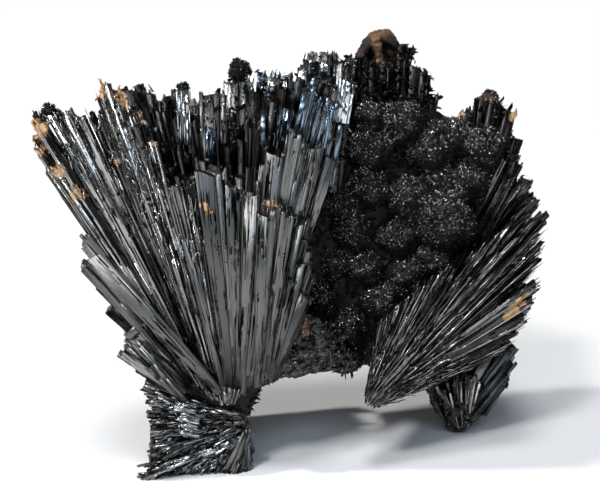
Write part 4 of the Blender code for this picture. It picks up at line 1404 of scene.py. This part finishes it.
# %% Knobs
KNOBS = [((-10.8, 8, 71), 2.7), ((-21, 7, 68.2), 1.5), ((35, 13.4, 65), 2),
         ((-42.4, -10.6, 67.2), 1.8)]
LOBES = 7
chance = np.random.default_rng(37)
blocks = []
for centre, radius in KNOBS:
    blocks.append(ball(centre, radius * 0.75, 2))
    for _ in range(LOBES):
        way = unit(chance.normal(size=3) + (0, -0.4, 0.2))
        blocks.append(ball(centre + way * radius * 0.55, radius * chance.uniform(0.3, 0.45), 2))
knobs = joined("top_knobs", blocks)
remeshed(knobs, 0.3)
roughened(knobs, 0.9, 0.35)
dressed(knobs, VELVET)
grains = Cluster("knob_grains", 43)
scatter(grains, knobs, 900, anywhere, (0.16, 0.34), (0.3, 0.5), 0.4)
grains.build(SHADED)
knob_sparks = Cluster("knob_sparks", 44)
# painted highlight: sparks stand only on faces that turn up towards the lamps
scatter(knob_sparks, knobs, 120, facing_up_painted_highlight, (0.16, 0.3), (0.3, 0.5), 0.5)
knob_sparks.build(SPARK)

# %% [markdown]
# ## Small crystals on the skins
# Broken goethite leaves small crystals standing on every ledge and end. Each row below is a piece,
# and in it each crop is a skin, a number of crystals, where on the skin they stand, their widths
# and lengths, and how unevenly they lean.

# %% Small crystals
def on_left_foot(middle, normal):
    return (middle[:, 0] < 0) & (middle[:, 2] < 16.5) & (normal[:, 0] < 0.2)


def on_right_foot(middle, normal):
    return (middle[:, 0] > 20) & (normal[:, 1] < 0.3)


def under_hollow(middle, normal):
    return (middle[:, 2] > 16.5) & (middle[:, 0] > -6.5)


def upper(middle, normal):
    """The broken tips along the top edge."""
    return (middle[:, 2] > 52) * (middle[:, 2] - 48) * (normal[:, 1] < 0.5)


CROPS = [
    ("drusy_crystals", 51, SHADED,
     [("dark_core", 8000, anywhere, (0.25, 0.6), (0.5, 1.2), 0.6)]),
    ("bits_on_the_left_foot", 52, BROKEN,
     [("massive_goethite", 800, on_left_foot, (0.2, 0.6), (0.2, 0.6), 0.7)]),
    ("bits_on_the_right_foot", 58, BLADES,
     [("massive_goethite", 500, on_right_foot, (0.12, 0.45), (0.15, 0.45), 0.7)]),
    # painted highlight: these bits take the sparkle finish
    ("bits_under_the_hollow", 54, SPARK,
     [("massive_goethite", 1400, under_hollow, (0.06, 0.2), (0.12, 0.35), 0.9)]),
    # painted glints on the crown's broken tips
    ("painted_glint_bits_on_the_crown", 56, PAINTED_GLINT_FINISH,
     [("crown_crystals", 420, upper, (0.3, 1), (0.4, 1.4), 0.9)]),
    ("small_crystals_on_the_tips", 57, SHADED,
     [("crystals_before_the_cap", 900, upper, (0.3, 0.9), (0.5, 1.4), 0.7),
      ("right_flank_blades", 900, upper, (0.3, 0.9), (0.5, 1.4), 0.7),
      ("crown_crystals", 500, upper, (0.3, 0.9), (0.5, 1.4), 0.7)]),
    ("bits_on_the_tips", 53, BLADES,
     [("left_spray_laths", 900, upper, (0.2, 0.8), (0.3, 1), 0.9),
      ("crown_crystals", 900, upper, (0.3, 1), (0.4, 1.4), 0.9),
      ("left_spray_inner", 500, upper, (0.3, 0.9), (0.4, 1.2), 0.9)]),
]
# painted shade: the core takes the near-black velvet finish
dressed(core, VELVET)
for name, seed, finish, crops in CROPS:
    cluster = Cluster(name, seed)
    for skin, *numbers in crops:
        scatter(cluster, bpy.data.objects[skin], *numbers)
    cluster.build(finish)

# %% [markdown]
# ## The limonite cap
# The cap is the shell of a small limonite dome, broken open at the front, with one rib inside. A
# second ball, moved to the front, is cut out of the first, so the wall is thin there and thick
# behind. A chain of small balls makes the rib. The skin is remeshed, roughened at two sizes and
# cut off level at the foot.

# %% Cap
CAP_CENTRE = (15, 20, 70.5)
CAP_RADII = (4.8, 4.4, 6.4)
CAP_WALL = 1.4
CAP_OPENING = 2.6
CAP_FOOT = 68.0
RIB_FOOT, RIB_TIP, RIB_RADIUS = (15.6, 17.6, 67.8), (13.8, 17.2, 75.4), 0.9
RIB_BALLS = 9
dome = ball(CAP_CENTRE, np.array(CAP_RADII) - 0.2, 5)
inside = ball(np.array(CAP_CENTRE) - (0, CAP_OPENING, 0), np.array(CAP_RADII) - CAP_WALL, 4)
apply(dome, "BOOLEAN", object=inside, operation="DIFFERENCE")
bpy.data.objects.remove(inside)
ribs = []
for index, share in enumerate(np.linspace(0, 1, RIB_BALLS)):
    place = np.array(RIB_FOOT) + (np.array(RIB_TIP) - RIB_FOOT) * share
    ribs.append(ball(place, RIB_RADIUS * (1.1 + 0.25 * math.sin(7 * index)), 2))
shell = joined("limonite_dome", [dome] + ribs)
remeshed(shell, 0.28)
roughened(shell, 3, 1.5)
roughened(shell, 1, 0.6)
cut_below(shell, CAP_FOOT * MM)

# %% Limonite finish
RIM = (0.0745, 0.0765)  # the heights in metres between which the shell turns orange
RIB_BACK = (0.0105, 0.0125)  # and where the rib ends: behind, right and left
RIB_RIGHT = (0.0162, 0.0172)
RIB_LEFT = (0.0115, 0.0122)
LIMONITE_SCALE = 1500.0
DARK_BROWN, BROWN = (0.008, 0.006, 0.004, 1), (0.05, 0.024, 0.012, 1)
RED_BROWN, ORANGE = (0.11, 0.05, 0.022, 1), (0.34, 0.19, 0.09, 1)


def limonite():
    finish = Finish("limonite")
    where = finish.place()
    broad = finish.noise(where, PATCH_SCALE, 4, 0.6)
    fine = finish.noise(where, LIMONITE_SCALE, 4, 0.7)
    x, y, z = (finish.node("SeparateXYZ", {}, {0: where}, axis) for axis in "XYZ")
    rib = y.ramp(*RIB_BACK, 1, 0) * x.ramp(*RIB_RIGHT, 1, 0) * x.ramp(*RIB_LEFT)
    orange = ((z.ramp(*RIM) * 0.5).higher(rib) + broad * 1.2 - 0.6).ramp(0.2, 0.8)
    brown = finish.blend(broad.ramp(0.35, 0.65), DARK_BROWN, BROWN)
    rust = finish.blend(fine.ramp(0.3, 0.7), RED_BROWN, ORANGE)
    finish.set(Base_Color=finish.blend(orange, brown, rust),
               Roughness=fine * 0.3 + 0.5,
               Normal=finish.bump(fine + broad, 0.0003))
    return finish.material


dressed(shell, limonite(), "limonite_cap")

# %% [markdown]
# ## Floor and light
# A specimen is shown on white paper. Three lamps far away make the floor white and leave a shadow
# in two tones: a low lamp from the left throws the long pale one, and only under the arch do all
# three fail. A pale blue window above and in front gives the cold flashes on the broken ends,
# helped by the painted glints and painted blue of the bright and blue finishes.

# %% Floor
PAPER = 8.0
deselect()
bpy.ops.mesh.primitive_plane_add(size=PAPER, location=(0, 0, -CLEARANCE))
floor = bpy.context.active_object
floor.name = "floor"
paper = Finish("white paper")
paper.set(Base_Color=grey(0.89), Roughness=0.9)
floor.data.materials.append(paper.material)

# %% Lamps
LAMPS = {  # direction of travel, power, angle across in degrees, colour
    "left_lamp": ((1.09, 0.21, -1), 1.75, 3.5, (1, 0.985, 0.96)),
    "front_lamp": ((0.45, 0.85, -1), 1.56, 10, (1, 1, 1)),
    "top_lamp": ((0.05, 0.30, -1), 1.20, 14, (0.95, 0.975, 1)),
}


def aimed(obj, direction):
    obj.rotation_euler = Vector(direction).to_track_quat("-Z", "Y").to_euler()


for name, (travel, power, angle, color) in LAMPS.items():
    bpy.ops.object.light_add(type="SUN", location=(0, 0, 1))
    lamp = bpy.context.active_object
    lamp.name = name
    aimed(lamp, travel)
    lamp.data.energy = power
    lamp.data.angle = math.radians(angle)
    lamp.data.color = color
    print(name, power)

SPECIMEN_MIDDLE = (0, 0, 0.05)
WINDOW_PLACE = (0.05, -0.62, 0.52)
WINDOW_SIZE = (0.5, 0.25)
WINDOW_POWER = 1.8
bpy.ops.object.light_add(type="AREA", location=WINDOW_PLACE)
window = bpy.context.active_object
window.name = "window"
aimed(window, Vector(SPECIMEN_MIDDLE) - window.location)
window.data.shape = "RECTANGLE"
window.data.size, window.data.size_y = WINDOW_SIZE
window.data.energy = WINDOW_POWER
window.data.color = (0.70, 0.83, 1)

# %% [markdown]
# ## The room
# The crystals mirror the room, and most of a room is dimmer than the paper. So the world is dark
# for everything but the camera, which sees white behind the specimen.

# %% World
ROOM = 0.06
world = bpy.data.worlds.new("studio")
bpy.context.scene.world = world
world.use_nodes = True
tree = world.node_tree
room = tree.nodes["Background"]
backdrop = tree.nodes.new("ShaderNodeBackground")
seen = tree.nodes.new("ShaderNodeLightPath")
mix = tree.nodes.new("ShaderNodeMixShader")
room.inputs["Color"].default_value = grey(1)
room.inputs["Strength"].default_value = ROOM
backdrop.inputs["Color"].default_value = grey(1)
backdrop.inputs["Strength"].default_value = 1.0
tree.links.new(seen.outputs["Is Camera Ray"], mix.inputs[0])
tree.links.new(room.outputs[0], mix.inputs[1])
tree.links.new(backdrop.outputs[0], mix.inputs[2])
tree.links.new(mix.outputs[0], tree.nodes["World Output"].inputs["Surface"])
bpy.context.scene.view_settings.view_transform = "Standard"
